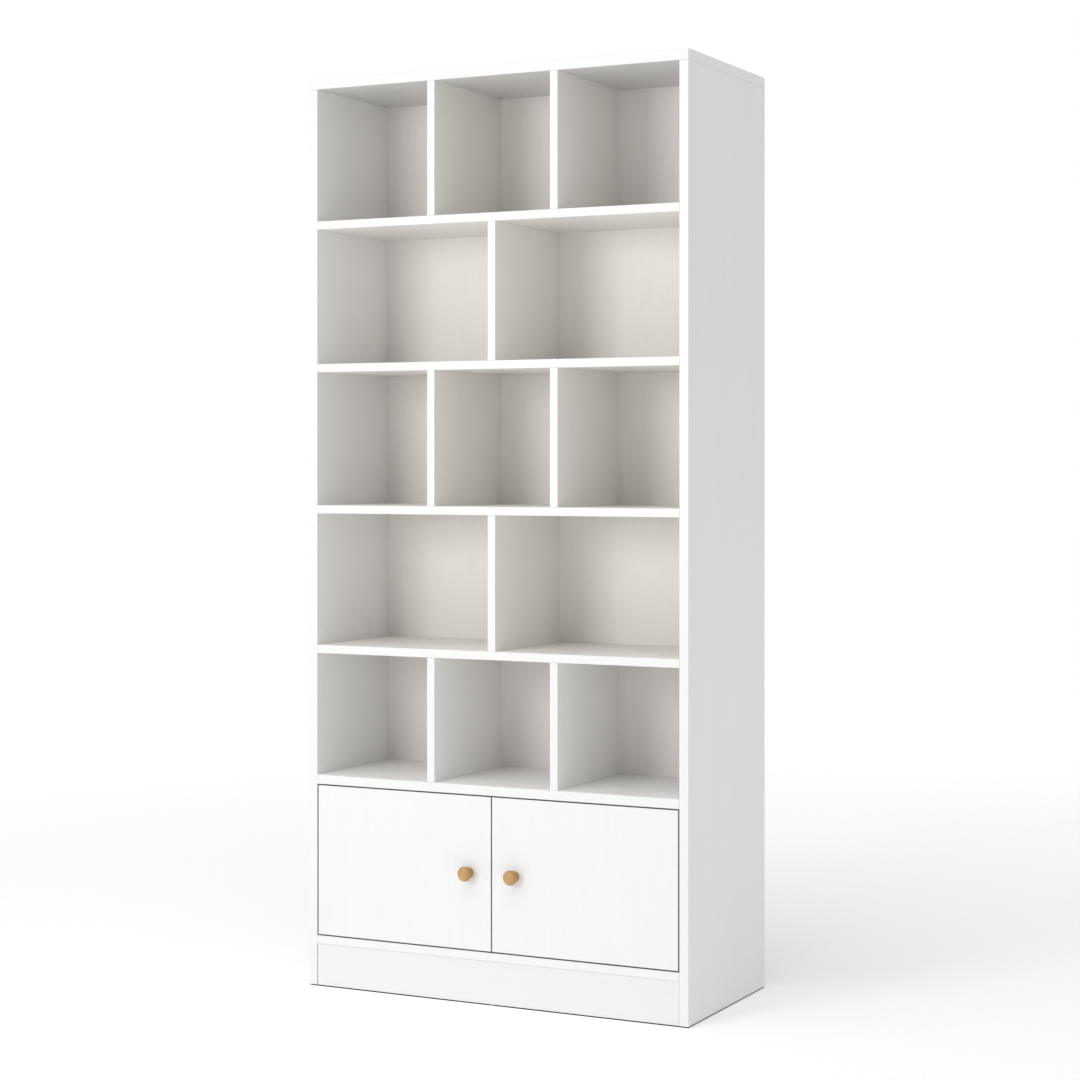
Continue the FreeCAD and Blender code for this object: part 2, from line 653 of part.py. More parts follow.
def make_knob():
    """A turned mushroom knob that points towards -Y: foot, hollow neck, rounded rim and dome.

    Three arcs, each tangent to the next, make the outline.  The centres of the dome and of the
    hollow follow from the rim's, and the sketch holds them by tangency.
    """
    head, rim, hollow = number("knob_head"), number("knob_rim"), number("knob_hollow")
    reach, widest, foot = number("knob_reach"), number("knob_rim_reach"), number("knob_foot")
    rim_centre = Vector(head - rim, -widest, 0)
    inward = reach - rim
    dome_deep = (rim_centre.x ** 2 + widest ** 2 - inward ** 2) / (2 * (widest - inward))
    dome_centre = Vector(0, -dome_deep, 0)
    hollow_across = number("knob_neck") + hollow
    hollow_up = math.sqrt((rim + hollow) ** 2 - (hollow_across - rim_centre.x) ** 2)
    hollow_centre = Vector(hollow_across, hollow_up - widest, 0)
    foot_across = hollow_across - math.sqrt(hollow ** 2 - (hollow_centre.y + foot) ** 2)

    axis_foot, foot_rim = Vector(0, 0, 0), Vector(foot_across, 0, 0)
    foot_top, tip = Vector(foot_across, -foot, 0), Vector(0, -reach, 0)
    under_head = rim_centre + (hollow_centre - rim_centre).normalize() * rim
    dome_rim = rim_centre + (rim_centre - dome_centre).normalize() * rim
    waist = hollow_centre - Vector(hollow, 0, 0)
    widest_point = rim_centre + Vector(rim, 0, 0)
    crown = dome_centre + (dome_rim + tip - dome_centre * 2).normalize() * (reach - dome_deep)

    body = new_body("one_knob")
    drawing = new_sketch(body, "XY_Plane")
    base = drawing.addGeometry(Part.LineSegment(axis_foot, foot_rim))
    edge = drawing.addGeometry(Part.LineSegment(foot_rim, foot_top))
    neck = drawing.addGeometry(Part.Arc(foot_top, waist, under_head))
    bead = drawing.addGeometry(Part.Arc(under_head, widest_point, dome_rim))
    dome = drawing.addGeometry(Part.Arc(dome_rim, crown, tip))
    axis = drawing.addGeometry(Part.LineSegment(tip, axis_foot))

    def join(kind, first, second, point):
        ends = (nearest_end(drawing, first, point), nearest_end(drawing, second, point))
        drawing.addConstraint(Sketcher.Constraint(kind, first, ends[0], second, ends[1]))

    join("Coincident", base, edge, foot_rim)
    join("Coincident", edge, neck, foot_top)
    join("Tangent", neck, bead, under_head)
    join("Tangent", bead, dome, dome_rim)
    join("Coincident", dome, axis, tip)
    join("Coincident", axis, base, axis_foot)
    drawing.addConstraint(Sketcher.Constraint("Coincident", base, 1, -1, 1))
    drawing.addConstraint(Sketcher.Constraint("Horizontal", base))
    drawing.addConstraint(Sketcher.Constraint("Vertical", edge))
    drawing.addConstraint(Sketcher.Constraint("Vertical", axis))
    drawing.addConstraint(Sketcher.Constraint("PointOnObject", dome, 3, -2))
    hold(drawing, "Radius", neck, to="knob_hollow")
    hold(drawing, "Radius", bead, to="knob_rim")
    hold(drawing, "DistanceX", -1, 1, bead, 3, to="knob_head - knob_rim")
    hold(drawing, "DistanceY", -1, 1, bead, 3, to="-knob_rim_reach")
    hold(drawing, "DistanceX", -1, 1, neck, 3, to="knob_neck + knob_hollow")
    hold(drawing, "DistanceY", -1, 1, axis, 1, to="-knob_reach")
    hold(drawing, "DistanceY", -1, 1, edge, 2, to="-knob_foot")
    turn_profile(body, drawing, "V_Axis")
    drawing = new_sketch(body, "XZ_Plane")
    draw_circle(drawing, ("0", "0"), "knob_screw_bore")
    pocket(body, drawing, "knob_screw_deep + bore_spare", True)
    return body


# ---------------------------------------------------------------- hinges

def make_hinge_cup():
    """A pressed cup in the door, with a flange on the door's back and holes for the pin's ends."""
    body = new_body("one_hinge_cup")
    wing_middle = "cup_across + wing_step"
    drawing = new_sketch(body, "XZ_Plane", "-door_thick")
    draw_circle(drawing, ("cup_across", "0"), "cup_wide")
    pad(body, drawing, "cup_deep")
    drawing = new_sketch(body, "XZ_Plane", "-door_thick")
    draw_circle(drawing, ("cup_across", "0"), "2 * flange_round")
    pad(body, drawing, "flange_thick", True)
    drawing = new_sketch(body, "XZ_Plane", "-door_thick")
    draw_rectangle(drawing, (f"{wing_middle} - wing_end", "-wing_apart - wing_end"),
                   ("2 * wing_end", "2 * wing_apart + 2 * wing_end"))
    wings = pad(body, drawing, "flange_thick", True)
    tip = number("wing_apart + wing_end")
    soften(body, wings, lambda edge: runs_along(edge, 1) and abs(abs(edge.Vertexes[0].Z) - tip) < TOUCHING,
           "wing_end - fit_slack")
    drawing = new_sketch(body, "XZ_Plane", "-door_thick - flange_thick")
    draw_circle(drawing, ("cup_across", "0"), "cup_hollow")
    pocket(body, drawing, "flange_thick + cup_deep - cup_floor", True)
    drawing = new_sketch(body, "XZ_Plane", "-door_thick - flange_thick")
    for rise in ("wing_apart", "-wing_apart"):
        draw_circle(drawing, (wing_middle, rise), "cup_screw_bore")
    pocket(body, drawing, "flange_thick", True)
    drawing = new_sketch(body, "XY_Plane", "-pin_half")
    draw_circle(drawing, ("pin_across", "pin_deep"), "pin_wide + 2 * pin_play")
    pocket(body, drawing, "2 * pin_half", True)
    return body


def make_hinge_arm():
    """A bent strip from the eye round the pin, up out of the cup, back over the swung edge of the
    door, and along the mounting plate."""
    route = [
        ("pin_across", "pin_deep"), ("neck_across", "neck_low"), ("neck_across", "neck_high"),
        ("crown_across", "crown_deep"), ("bend_across", "crown_deep"), ("rail_across", "rail_start"),
        ("rail_across", "rail_end"),
    ]
    pieces = [doc.addObject("Part::Cylinder", "hinge_eye")]
    pieces[0].setExpression("Radius", bound("eye_radius"))
    place(pieces[0], ("pin_across", "pin_deep", "-arm_high / 2"))
    for start, end in zip(route, route[1:]):
        across, deep = f"({end[0]} - {start[0]})", f"({end[1]} - {start[1]})"
        long = f"sqrt({across} ^ 2 + {deep} ^ 2)"
        run = doc.addObject("Part::Box", "arm_run")
        run.setExpression("Length", bound(long))
        run.setExpression("Width", bound("arm_thick"))
        # the axis is kept only by a placement that turns, so it gets a turn before its expression
        run.Placement = Placement(Vector(), Rotation(Vector(0, 0, 1), 1))
        run.setExpression("Placement.Rotation.Angle", bound(f"atan2({deep}; {across})"))
        place(run, (f"{start[0]} + arm_thick / 2 * {deep} / {long}",
                    f"{start[1]} - arm_thick / 2 * {across} / {long}", "-arm_high / 2"))
        bend = doc.addObject("Part::Cylinder", "arm_bend")
        bend.setExpression("Radius", bound("arm_thick / 2"))
        place(bend, (*end, "-arm_high / 2"))
        pieces += [run, bend]
    for piece in pieces:
        piece.setExpression("Height", bound("arm_high"))
    strip = doc.addObject("Part::MultiFuse", "arm_strip")
    strip.Shapes = pieces
    bore = doc.addObject("Part::Cylinder", "eye_bore")
    bore.setExpression("Radius", bound("(pin_wide + fit_slack) / 2"))
    bore.setExpression("Height", bound("arm_high"))
    place(bore, ("pin_across", "pin_deep", "-arm_high / 2"))
    arm = doc.addObject("Part::Cut", "one_hinge_arm")
    arm.Base = strip
    arm.Tool = bore
    return arm


def make_hinge_plate():
    """Two wings on the side panel and a block that the arm lies on."""
    body = new_body("one_hinge_plate")
    drawing = new_sketch(body, "YZ_Plane")
    draw_rectangle(drawing, ("plate_start", "-plate_high / 2"), ("plate_wide", "plate_high"))
    pad(body, drawing, "plate_thick")
    drawing = new_sketch(body, "YZ_Plane")
    draw_rectangle(drawing, ("block_start", "-arm_high / 2"), ("block_end - block_start", "arm_high"))
    block = pad(body, drawing, "plate_block")
    tip = number("plate_high") / 2
    soften(body, block, lambda edge: runs_along(edge, 0) and abs(abs(edge.Vertexes[0].Z) - tip) < TOUCHING,
           "plate_round")
    drawing = new_sketch(body, "YZ_Plane", "plate_thick")
    for rise in ("plate_hole_apart / 2", "-plate_hole_apart / 2"):
        draw_circle(drawing, ("plate_start + plate_wide / 2", rise), "plate_screw_bore")
    pocket(body, drawing, "plate_thick")
    return body


def make_hinge_pin():
    """A plain pin along Z, held by the arm, its ends in the cup."""
    body = new_body("one_hinge_pin")
    drawing = new_sketch(body, "XY_Plane", "-pin_half + fit_slack")
    draw_circle(drawing, ("pin_across", "pin_deep"), "pin_wide")
    pad(body, drawing, "2 * (pin_half - fit_slack)")
    return body


# ---------------------------------------------------------------- catches and wall brackets

def make_catch():
    """A plastic housing, open at the front for its magnet, with two pins up into the shelf."""
    body = new_body("one_catch")
    drawing = new_sketch(body, "XY_Plane", "-catch_high")
    draw_rectangle(drawing, ("-catch_wide / 2", "0"), ("catch_wide", "catch_long"))
    pad(body, drawing, "catch_high")
    drawing = new_sketch(body, "XY_Plane")
    for across in ("-catch_pin_apart / 2", "catch_pin_apart / 2"):
        draw_circle(drawing, (across, "catch_long / 2"), "catch_pin")
    pad(body, drawing, "catch_pin_long")
    drawing = new_sketch(body, "XZ_Plane")
    draw_rectangle(drawing, ("-magnet_wide / 2 - fit_slack", "-(catch_high + magnet_high) / 2 - fit_slack"),
                   ("magnet_wide + 2 * fit_slack", "magnet_high + 2 * fit_slack"))
    pocket(body, drawing, "magnet_long - magnet_out")
    return body


def make_magnet():
    """A steel-cheeked magnet that stands a little out of its housing."""
    body = new_body("one_magnet")
    drawing = new_sketch(body, "XZ_Plane", "magnet_out")
    draw_rectangle(drawing, ("-magnet_wide / 2", "-(catch_high + magnet_high) / 2"),
                   ("magnet_wide", "magnet_high"))
    pad(body, drawing, "magnet_long", True)
    return body


def make_strike():
    """A steel plate on the back of a door, held by two prongs."""
    body = new_body("one_strike")
    drawing = new_sketch(body, "XZ_Plane")
    draw_rectangle(drawing, ("-strike_wide / 2", "-strike_high / 2"), ("strike_wide", "strike_high"))
    pad(body, drawing, "strike_thick", True)
    drawing = new_sketch(body, "XZ_Plane")
    for across in ("-prong_apart / 2", "prong_apart / 2"):
        draw_circle(drawing, (across, "0"), "prong_wide")
    pad(body, drawing, "prong_long")
    return body


def make_bracket():
    """A steel angle: one leg on the top panel, the other up against the wall."""
    body = new_body("one_bracket")
    drawing = new_sketch(body, "YZ_Plane", "-bracket_wide / 2")
    draw_outline(drawing, [("0", "0"), ("0", "bracket_rise"), ("-bracket_thick", "bracket_rise"),
                           ("-bracket_thick", "bracket_thick"), ("-bracket_flat", "bracket_thick"),
                           ("-bracket_flat", "0")])
    angle = pad(body, drawing, "bracket_wide")
    high, far = number("bracket_rise"), -number("bracket_flat")
    soften(body, angle, lambda edge: (runs_along(edge, 1) and abs(edge.Vertexes[0].Z - high) < TOUCHING)
           or (runs_along(edge, 2) and abs(edge.Vertexes[0].Y - far) < TOUCHING), "bracket_round")
    drawing = new_sketch(body, "XY_Plane", "bracket_thick")
    draw_circle(drawing, ("0", "-bracket_screw_step"), "bracket_screw_bore")
    pocket(body, drawing, "bracket_thick")
    drawing = new_sketch(body, "XZ_Plane")
    draw_circle(drawing, ("0", "bracket_hole_rise"), "bracket_hole")
    pocket(body, drawing, "bracket_thick", True)
    return body


# ---------------------------------------------------------------- places of what repeats

nodes = {}


def link_to(label, piece, spots):
    """Make a node of one piece, linked to each of its places: (where, turn)."""
    copies = []
    for where, turn in spots:
        copy = doc.addObject("App::Link", label + "_at")
        copy.LinkedObject = piece
        copy.Placement = Placement(Vector(), turn)
        place(copy, where)
        copies.append(copy)
    node = doc.addObject("Part::Compound", label)
    node.Label = label
    node.Links = copies
    nodes[label] = node


def from_end(spot, side, label):
    """Place along X of a spot that is measured from the left or the right end of a board."""
    return spot if side == "left" else f"{boards[label]['size'][0]} - ({spot})"


def end_joints():
    """Cam bolts and dowels on the ends of each board, measured up and back from its corner."""
    joints = {}
    for label in SHELVES + ["bottom_panel"]:
        half = f"{HIGH[label]} / 2"
        rear = f"{INNER_DEEP} - joint_inset"
        joints[label] = ([("joint_inset", half), (rear, half)],
                         [("joint_inset + joint_step", half), (f"{rear} - joint_step", half)])
    for label in ("kick_board", "plinth_rear_rail"):
        middle_of_end = ("rail_thick / 2", "plinth_height / 2")
        joints[label] = ([middle_of_end],
                         [("rail_thick / 2", f"plinth_height / 2 {sign} plinth_step") for sign in "+-"])
    return joints


# Face with the cam bores, which is the one that is out of sight, and how the cam turns from +Z to
# point into it.
CAM_ON_TOP = ("top", Rotation(Vector(1, 0, 0), 180))
CAM_UNDERNEATH = ("bottom", Rotation())
CAM_FACES = {
    "kick_board": ("rear", Rotation(Vector(1, 0, 0), 90)),
    "plinth_rear_rail": ("front", Rotation(Vector(1, 0, 0), -90)),
    "shelf_1": CAM_ON_TOP,
    "shelf_2": CAM_ON_TOP,
}
CAP_TURNS = {"rear": FORWARDS, "front": Rotation(Vector(0, 0, 1), 90), "bottom": UPWARDS, "top": DOWNWARDS}


def joint_boards_to_sides(cams, bolts, dowels, caps):
    """Bore the boards and side panels for cams, bolts and dowels, and note where those go."""
    into_side = {side: {"bolts": [], "dowels": []} for side in SIDES}
    for label, (bolt_spots, dowel_spots) in end_joints().items():
        face, cam_turn = CAM_FACES.get(label, CAM_UNDERNEATH)
        size, corner = boards[label]["size"], boards[label]["corner"]
        lies_flat = face in ("bottom", "top")
        cam_deep = f"{size[2] if lies_flat else size[1]} / 2 + cam_over"
        cam_bores = []
        for side in SIDES:
            drill(label, side, bolt_spots + dowel_spots, "end_bore", "end_bore_deep")
            plane = f"{'-' if side == 'left' else ''}{INNER_WIDE} / 2"
            turn = AS_MADE if side == "left" else LEFTWARDS
            across = from_end("cam_back", side, label)
            for kind, spots, places in (("bolts", bolt_spots, bolts), ("dowels", dowel_spots, dowels)):
                for back, up in spots:
                    into_side[side][kind].append(
                        (f"{corner[1]} - {FRONT} + {back}", f"{corner[2]} - glide_thick + {up}"))
                    places.append(((plane, f"{corner[1]} + {back}", f"{corner[2]} + {up}"), turn))
            for back, up in bolt_spots:
                local = {"bottom": (across, back, "0"), "top": (across, back, size[2]),
                         "rear": (across, size[1], up), "front": (across, "0", up)}[face]
                cam_bores.append((across, back if lies_flat else up))
                cams.append((spot_of(label, local), cam_turn.multiply(turn)))
                caps.append((spot_of(label, local), CAP_TURNS[face]))
        drill(label, face, cam_bores, "cam_bore", cam_deep)
    for side in SIDES:
        panel = f"side_panel_{side}"
        drill(panel, INNER_FACE[side], into_side[side]["bolts"], "bolt_thread + fit_slack",
              "bolt_sunk + bore_spare")
        drill(panel, INNER_FACE[side], into_side[side]["dowels"], "end_bore", "dowel_short + bore_spare")


def screw_through(label, face, spots, screws, caps):
    """Bore a board for panel screws that pass through it, and note where screws and caps go."""
    drill(label, face, spots, "screw_bore", HIGH[label])
    drill(label, face, spots, "head_bore", "head_deep")
    up = HIGH[label] if face == "top" else "0"
    turn = DOWNWARDS if face == "top" else UPWARDS
    for across, back in spots:
        screws.append((spot_of(label, (across, back, up)), turn))
        caps.append((spot_of(label, (across, back, up)), turn))


def joint_uprights(screws, dowels, caps):
    """Screw each upright through one of its boards, and peg it to the other."""
    through = {}
    pegged = {}
    for label, row, above, below, left_face, from_above in UPRIGHTS:
        behind = SETBACK if row == "cabinet" else "0"
        backs = ("screw_inset", f"{INNER_DEEP} - screw_inset")
        in_upright = [("divider_thick / 2", f"{back} - {behind}") for back in backs]
        screwed, pegged_to = (above, below) if from_above else (below, above)
        screw_end, peg_end = ("top", "bottom") if from_above else ("bottom", "top")
        drill(label, screw_end, in_upright, "screw_bore", f"screw_long - {HIGH[screwed]} + bore_spare")
        drill(label, peg_end, in_upright, "end_bore", "end_bore_deep")
        for board_label, spots in ((screwed, through), (pegged_to, pegged)):
            across = f"({left_face}) + divider_thick / 2 - ({boards[board_label]['corner'][0]})"
            spots.setdefault((board_label, screw_end), []).extend((across, back) for back in backs)
        level = UNDER[row] if from_above else UNDER[above]
        for back in backs:
            dowels.append(((f"{left_face} + divider_thick / 2", f"{FRONT} + {back}", level),
                           UPWARDS if from_above else DOWNWARDS))
    side_middles = ("side_thick / 2", "width - side_thick / 2")
    for back in ("screw_inset", f"{INNER_DEEP} - screw_inset"):
        through[("top_panel", "top")] += [(across, back) for across in side_middles]
    for (label, face), spots in through.items():
        screw_through(label, face, spots, screws, caps)
    for (label, face), spots in pegged.items():
        drill(label, face, spots, "end_bore", "dowel_short + bore_spare")


def joint_top_to_sides(dowels):
    """Bore the upper ends of the side panels for the top's screws and dowels."""
    pegs = ("screw_inset + joint_step", f"{INNER_DEEP} - screw_inset - joint_step")
    for side in SIDES:
        panel = f"side_panel_{side}"
        screws = ("screw_inset", f"{INNER_DEEP} - screw_inset")
        drill(panel, "top", [("side_thick / 2", back) for back in screws], "screw_bore",
              "screw_long - top_thick + bore_spare")
        drill(panel, "top", [("side_thick / 2", back) for back in pegs], "end_bore", "end_bore_deep")
    spots = [(across, back) for across in ("side_thick / 2", "width - side_thick / 2") for back in pegs]
    drill("top_panel", "bottom", spots, "end_bore", "dowel_short + bore_spare")
    for across, back in spots:
        dowels.append((spot_of("top_panel", (across, back, "0")), DOWNWARDS))


def nail_back():
    """Nail the sheets to the rear edges of the boards that have no joining strip."""
    spots = []
    between = f"({INNER_WIDE} - 2 * nail_inset) / {NAILS_ON_BOARD - 1}"
    places = [f"nail_inset + {n} * {between}" for n in range(NAILS_ON_BOARD)]
    for label, sheet_label in NAIL_BOARDS.items():
        half = f"{HIGH[label]} / 2"
        drill(label, "rear", [(across, half) for across in places], "nail_wide + fit_slack",
              "nail_long - back_thick + bore_spare")
        low = boards[sheet_label]["corner"][2]
        in_sheet = [(f"{across} + groove_deep - sheet_slack", f"{middle(label)} - ({low})")
                    for across in places]
        drill(sheet_label, "rear", in_sheet, "nail_wide + fit_slack", "back_thick")
        spots += [(spot_of(sheet_label, (across, "back_thick", up)), FORWARDS) for across, up in in_sheet]
    link_to("back_nails", turned_piece("one_nail", [("-nail_head_thick", "0", "nail_head"),
                                                    ("0", "nail_long", "nail_wide")]), spots)


def add_strips():
    """Joining strips, H-shaped in section, between the sheets behind shelves 2 and 4."""
    body = new_body("one_joining_strip")
    drawing = new_sketch(body, "YZ_Plane", f"-{INNER_WIDE} / 2 + sheet_slack")
    front, rear = "-strip_gap", "back_thick + strip_gap"
    half, web = "strip_high / 2", "strip_web / 2"
    draw_outline(drawing, [
        (f"{front} - strip_wing", f"-{half}"), (front, f"-{half}"), (front, f"-{web}"), (rear, f"-{web}"),
        (rear, f"-{half}"), (f"{rear} + strip_wing", f"-{half}"), (f"{rear} + strip_wing", half),
        (rear, half), (rear, web), (front, web), (front, half), (f"{front} - strip_wing", half)])
    pad(body, drawing, f"{INNER_WIDE} - 2 * sheet_slack")
    link_to("back_joining_strips", body,
            [(("0", f"{FRONT} + {INNER_DEEP}", middle(label)), AS_MADE) for label in STRIP_SHELVES])


def add_glides():
    """Nail-in glides under the side panels and the plinth boards."""
    spots = []
    for side in SIDES:
        panel = f"side_panel_{side}"
        under = [("side_thick / 2", back) for back in ("glide_inset", "depth - glide_inset")]
        drill(panel, "bottom", under, "spike_wide + fit_slack", "spike_long + bore_spare")
        spots += [(spot_of(panel, (*spot, "0")), UPWARDS) for spot in under]
    for label in ("kick_board", "plinth_rear_rail"):
        under = [(f"{INNER_WIDE} / 2", "rail_thick / 2")]
        drill(label, "bottom", under, "spike_wide + fit_slack", "spike_long + bore_spare")
        spots += [(spot_of(label, (*spot, "0")), UPWARDS) for spot in under]
    link_to("floor_glides", turned_piece("one_glide", [("-glide_thick", "0", "glide_wide"),
                                                       ("0", "spike_long", "spike_wide")]), spots)


def hang_doors():
    """Hinges, knobs and strike plates, and every bore that they need."""
    cup, arm, plate = make_hinge_cup(), make_hinge_arm(), make_hinge_plate()
    pin, knob, strike = make_hinge_pin(), make_knob(), make_strike()
    cup_screw = headed_screw("one_cup_screw", "cup_screw_head", "cup_screw_head_thick", "cup_screw",
                             "cup_screw_long")
    plate_screw = headed_screw("one_plate_screw", "plate_screw_head", "plate_screw_head_thick", "plate_screw",
                               "plate_screw_long + plate_thick")
    knob_screw = headed_screw("one_knob_screw", "knob_screw_head", "knob_screw_head_thick", "knob_screw",
                              "door_thick + knob_screw_deep")
    pins, plate_screws = [], []
    door_low = f"{UNDER['cabinet']} + door_gap"
    heights = {"lower": "hinge_inset", "upper": f"{DOOR_HIGH} - hinge_inset"}
    for side in SIDES:
        door, panel = f"{side}_door", f"side_panel_{side}"
        sign, turn = ("", AS_MADE) if side == "left" else ("-", OTHER_HAND)
        wall = f"{'-' if side == 'left' else ''}{INNER_WIDE} / 2"
        cup_local = from_end("cup_across - door_gap", side, door)
        wing_local = from_end("cup_across + wing_step - door_gap", side, door)
        cup_screws = []
        drill(door, "rear", [(cup_local, up) for up in heights.values()], "cup_bore", "cup_bore_deep")
        wing_holes = [(wing_local, f"{up} {way} wing_apart") for up in heights.values() for way in "+-"]
        drill(door, "rear", wing_holes, "cup_screw_bore", "cup_screw_long - flange_thick + bore_spare")
        plate_holes = [("plate_start + plate_wide / 2",
                        f"{door_low} - glide_thick + {up} {way} plate_hole_apart / 2")
                       for up in heights.values() for way in "+-"]
        drill(panel, INNER_FACE[side], plate_holes, "plate_screw_bore", "plate_screw_long + bore_spare")
        for level, up in heights.items():
            origin = (wall, FRONT, f"{door_low} + {up}")
            for name, piece in (("cup", cup), ("arm", arm), ("plate", plate)):
                link_to(f"{side}_{level}_hinge_{name}", piece, [(origin, turn)])
            pins.append((origin, turn))
            for way in "+-":
                cup_screws.append(((f"{wall} + {sign}(cup_across + wing_step)",
                                    f"{FRONT} + door_thick + flange_thick",
                                    f"{door_low} + {up} {way} wing_apart"), FORWARDS))
                plate_screws.append(((f"{wall} + {sign}plate_thick",
                                      f"{FRONT} + plate_start + plate_wide / 2",
                                      f"{door_low} + {up} {way} plate_hole_apart / 2"),
                                     LEFTWARDS if side == "left" else AS_MADE))
        link_to(f"{side}_hinge_cup_screws", cup_screw, cup_screws)
        knob_local = from_end(f"{DOOR_WIDE} + door_gap / 2 - knob_across", side, door)
        drill(door, "rear", [(knob_local, f"{DOOR_HIGH} / 2")], "knob_screw_bore", "door_thick")
        link_to(f"{side}_knob", knob, [(spot_of(door, (knob_local, "0", f"{DOOR_HIGH} / 2")), AS_MADE)])
        link_to(f"{side}_knob_screw", knob_screw,
                [(spot_of(door, (knob_local, "door_thick", f"{DOOR_HIGH} / 2")), FORWARDS)])
        strike_local = from_end(f"{DOOR_WIDE} + door_gap / 2 - catch_across", side, door)
        strike_up = f"{DOOR_HIGH} - strike_drop"
        drill(door, "rear", [(f"{strike_local} {way} prong_apart / 2", strike_up) for way in "+-"],
              "prong_wide + fit_slack", "prong_long + bore_spare")
        link_to(f"{side}_strike_plate", strike,
                [(spot_of(door, (strike_local, "door_thick", strike_up)), AS_MADE)])
    link_to("hinge_pins", pin, pins)
    link_to("hinge_plate_screws", plate_screw, plate_screws)


def add_catches():
    """A magnetic catch for each door, pushed into the underside of shelf 5."""
    catch, magnet = make_catch(), make_magnet()
    face = "door_thick + strike_thick + strike_gap + magnet_out"
    magnets, bores = [], []
    for side, sign in (("left", "-"), ("right", "")):
        origin = (f"{sign}catch_across", f"{FRONT} + {face}", UNDER["shelf_5"])
        link_to(f"{side}_catch", catch, [(origin, AS_MADE)])
        magnets.append((origin, AS_MADE))
        bores += [(f"{INNER_WIDE} / 2 + {sign}catch_across {way} catch_pin_apart / 2",
                   f"{face} + catch_long / 2") for way in "+-"]
    drill("shelf_5", "bottom", bores, "catch_pin + fit_slack", "catch_pin_long + bore_spare")
    link_to("catch_magnets", magnet, magnets)


def add_wall_brackets():
    """Two angles that hold the top panel to the wall."""
    bracket = make_bracket()
    screw = headed_screw("one_bracket_screw", "bracket_screw_head", "bracket_screw_head_thick",
                         "bracket_screw", "bracket_screw_long + bracket_thick")
    across = [f"width / 2 {way} bracket_apart / 2" for way in "+-"]
    back = "depth - bracket_screw_step"
    drill("top_panel", "top", [(spot, back) for spot in across], "bracket_screw_bore",
          "bracket_screw_long + bore_spare")
    link_to("wall_brackets", bracket,
            [(spot_of("top_panel", (spot, "depth", "top_thick")), AS_MADE) for spot in across])
    link_to("wall_bracket_screws", screw,
            [(spot_of("top_panel", (spot, back, "top_thick + bracket_thick")), DOWNWARDS) for spot in across])


# ---------------------------------------------------------------- build, check and write

def build():
    """Make every board, then join them, then hang the doors."""
    make_side_panels()
    make_top_panel()
    make_shelves()
    make_plinth()
    make_uprights()
    make_back()
    make_doors()
    cams, bolts, dowels, screws, caps = [], [], [], [], []
    joint_boards_to_sides(cams, bolts, dowels, caps)
    joint_uprights(screws, dowels, caps)
    joint_top_to_sides(dowels)
    nail_back()
    add_strips()
    add_glides()
    hang_doors()
    add_catches()
    add_wall_brackets()
    link_to("cam_locks", make_cam_lock(), cams)
    link_to("cam_bolts", make_cam_bolt(), bolts)
    link_to("wood_dowels", make_dowel(), dowels)
    link_to("panel_screws", make_panel_screw(), screws)
    link_to("cover_caps", make_cover_cap(), caps)
    nodes.update({label: record["body"] for label, record in boards.items()})
    doc.recompute()


def check():
    """Stop if an object failed, a cut removed nothing or a node's shape is not sound."""
    failed = [item.Label for item in doc.Objects if {"Invalid", "Error"} & set(item.State)]
    idle = [item.Label for item in doc.Objects if item.TypeId == "PartDesign::Pocket"
            and item.BaseFeature.Shape.Volume - item.Shape.Volume < CUT_AT_LEAST]
    unsound = [label for label, node in nodes.items()
               if node.Shape.isNull() or not node.Shape.isValid() or not node.Shape.Solids]
    if failed or idle or unsound:
        raise RuntimeError(f"failed {failed}, idle cuts {idle}, unsound {unsound}")


def write():
    """Write one file for each node."""
    os.makedirs("parts", exist_ok=True)
    for label, node in nodes.items():
        node.Shape.exportStep(f"parts/{label}.step")


build()
check()
write()
box = Part.makeCompound([node.Shape for node in nodes.values()]).BoundBox
print(f"{len(nodes)} nodes, {sum(len(node.Shape.Solids) for node in nodes.values())} solids")
for axis in "XYZ":
    print(f"{axis} {getattr(box, axis + 'Min'):.2f} to {getattr(box, axis + 'Max'):.2f}")
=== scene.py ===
# %% [markdown]
# # A white bookcase with cabinet doors
#
# The real thing is flat-pack furniture: boards of pressed wood chips faced with white, faintly
# grained melamine, a hardboard back, two doors on concealed hinges and two turned beech knobs.
# The boards and fittings arrive here as a finished frame, already at their real size and
# place. This lesson gives each of them its surface, and makes the small turned and pressed
# pieces again as proper meshes.
#
# We load that frame first. Every node of it is an object at the origin whose place is in its
# mesh, so one set of coordinates, in metres, serves the whole lesson.

# %% Load the frame
import math
import random

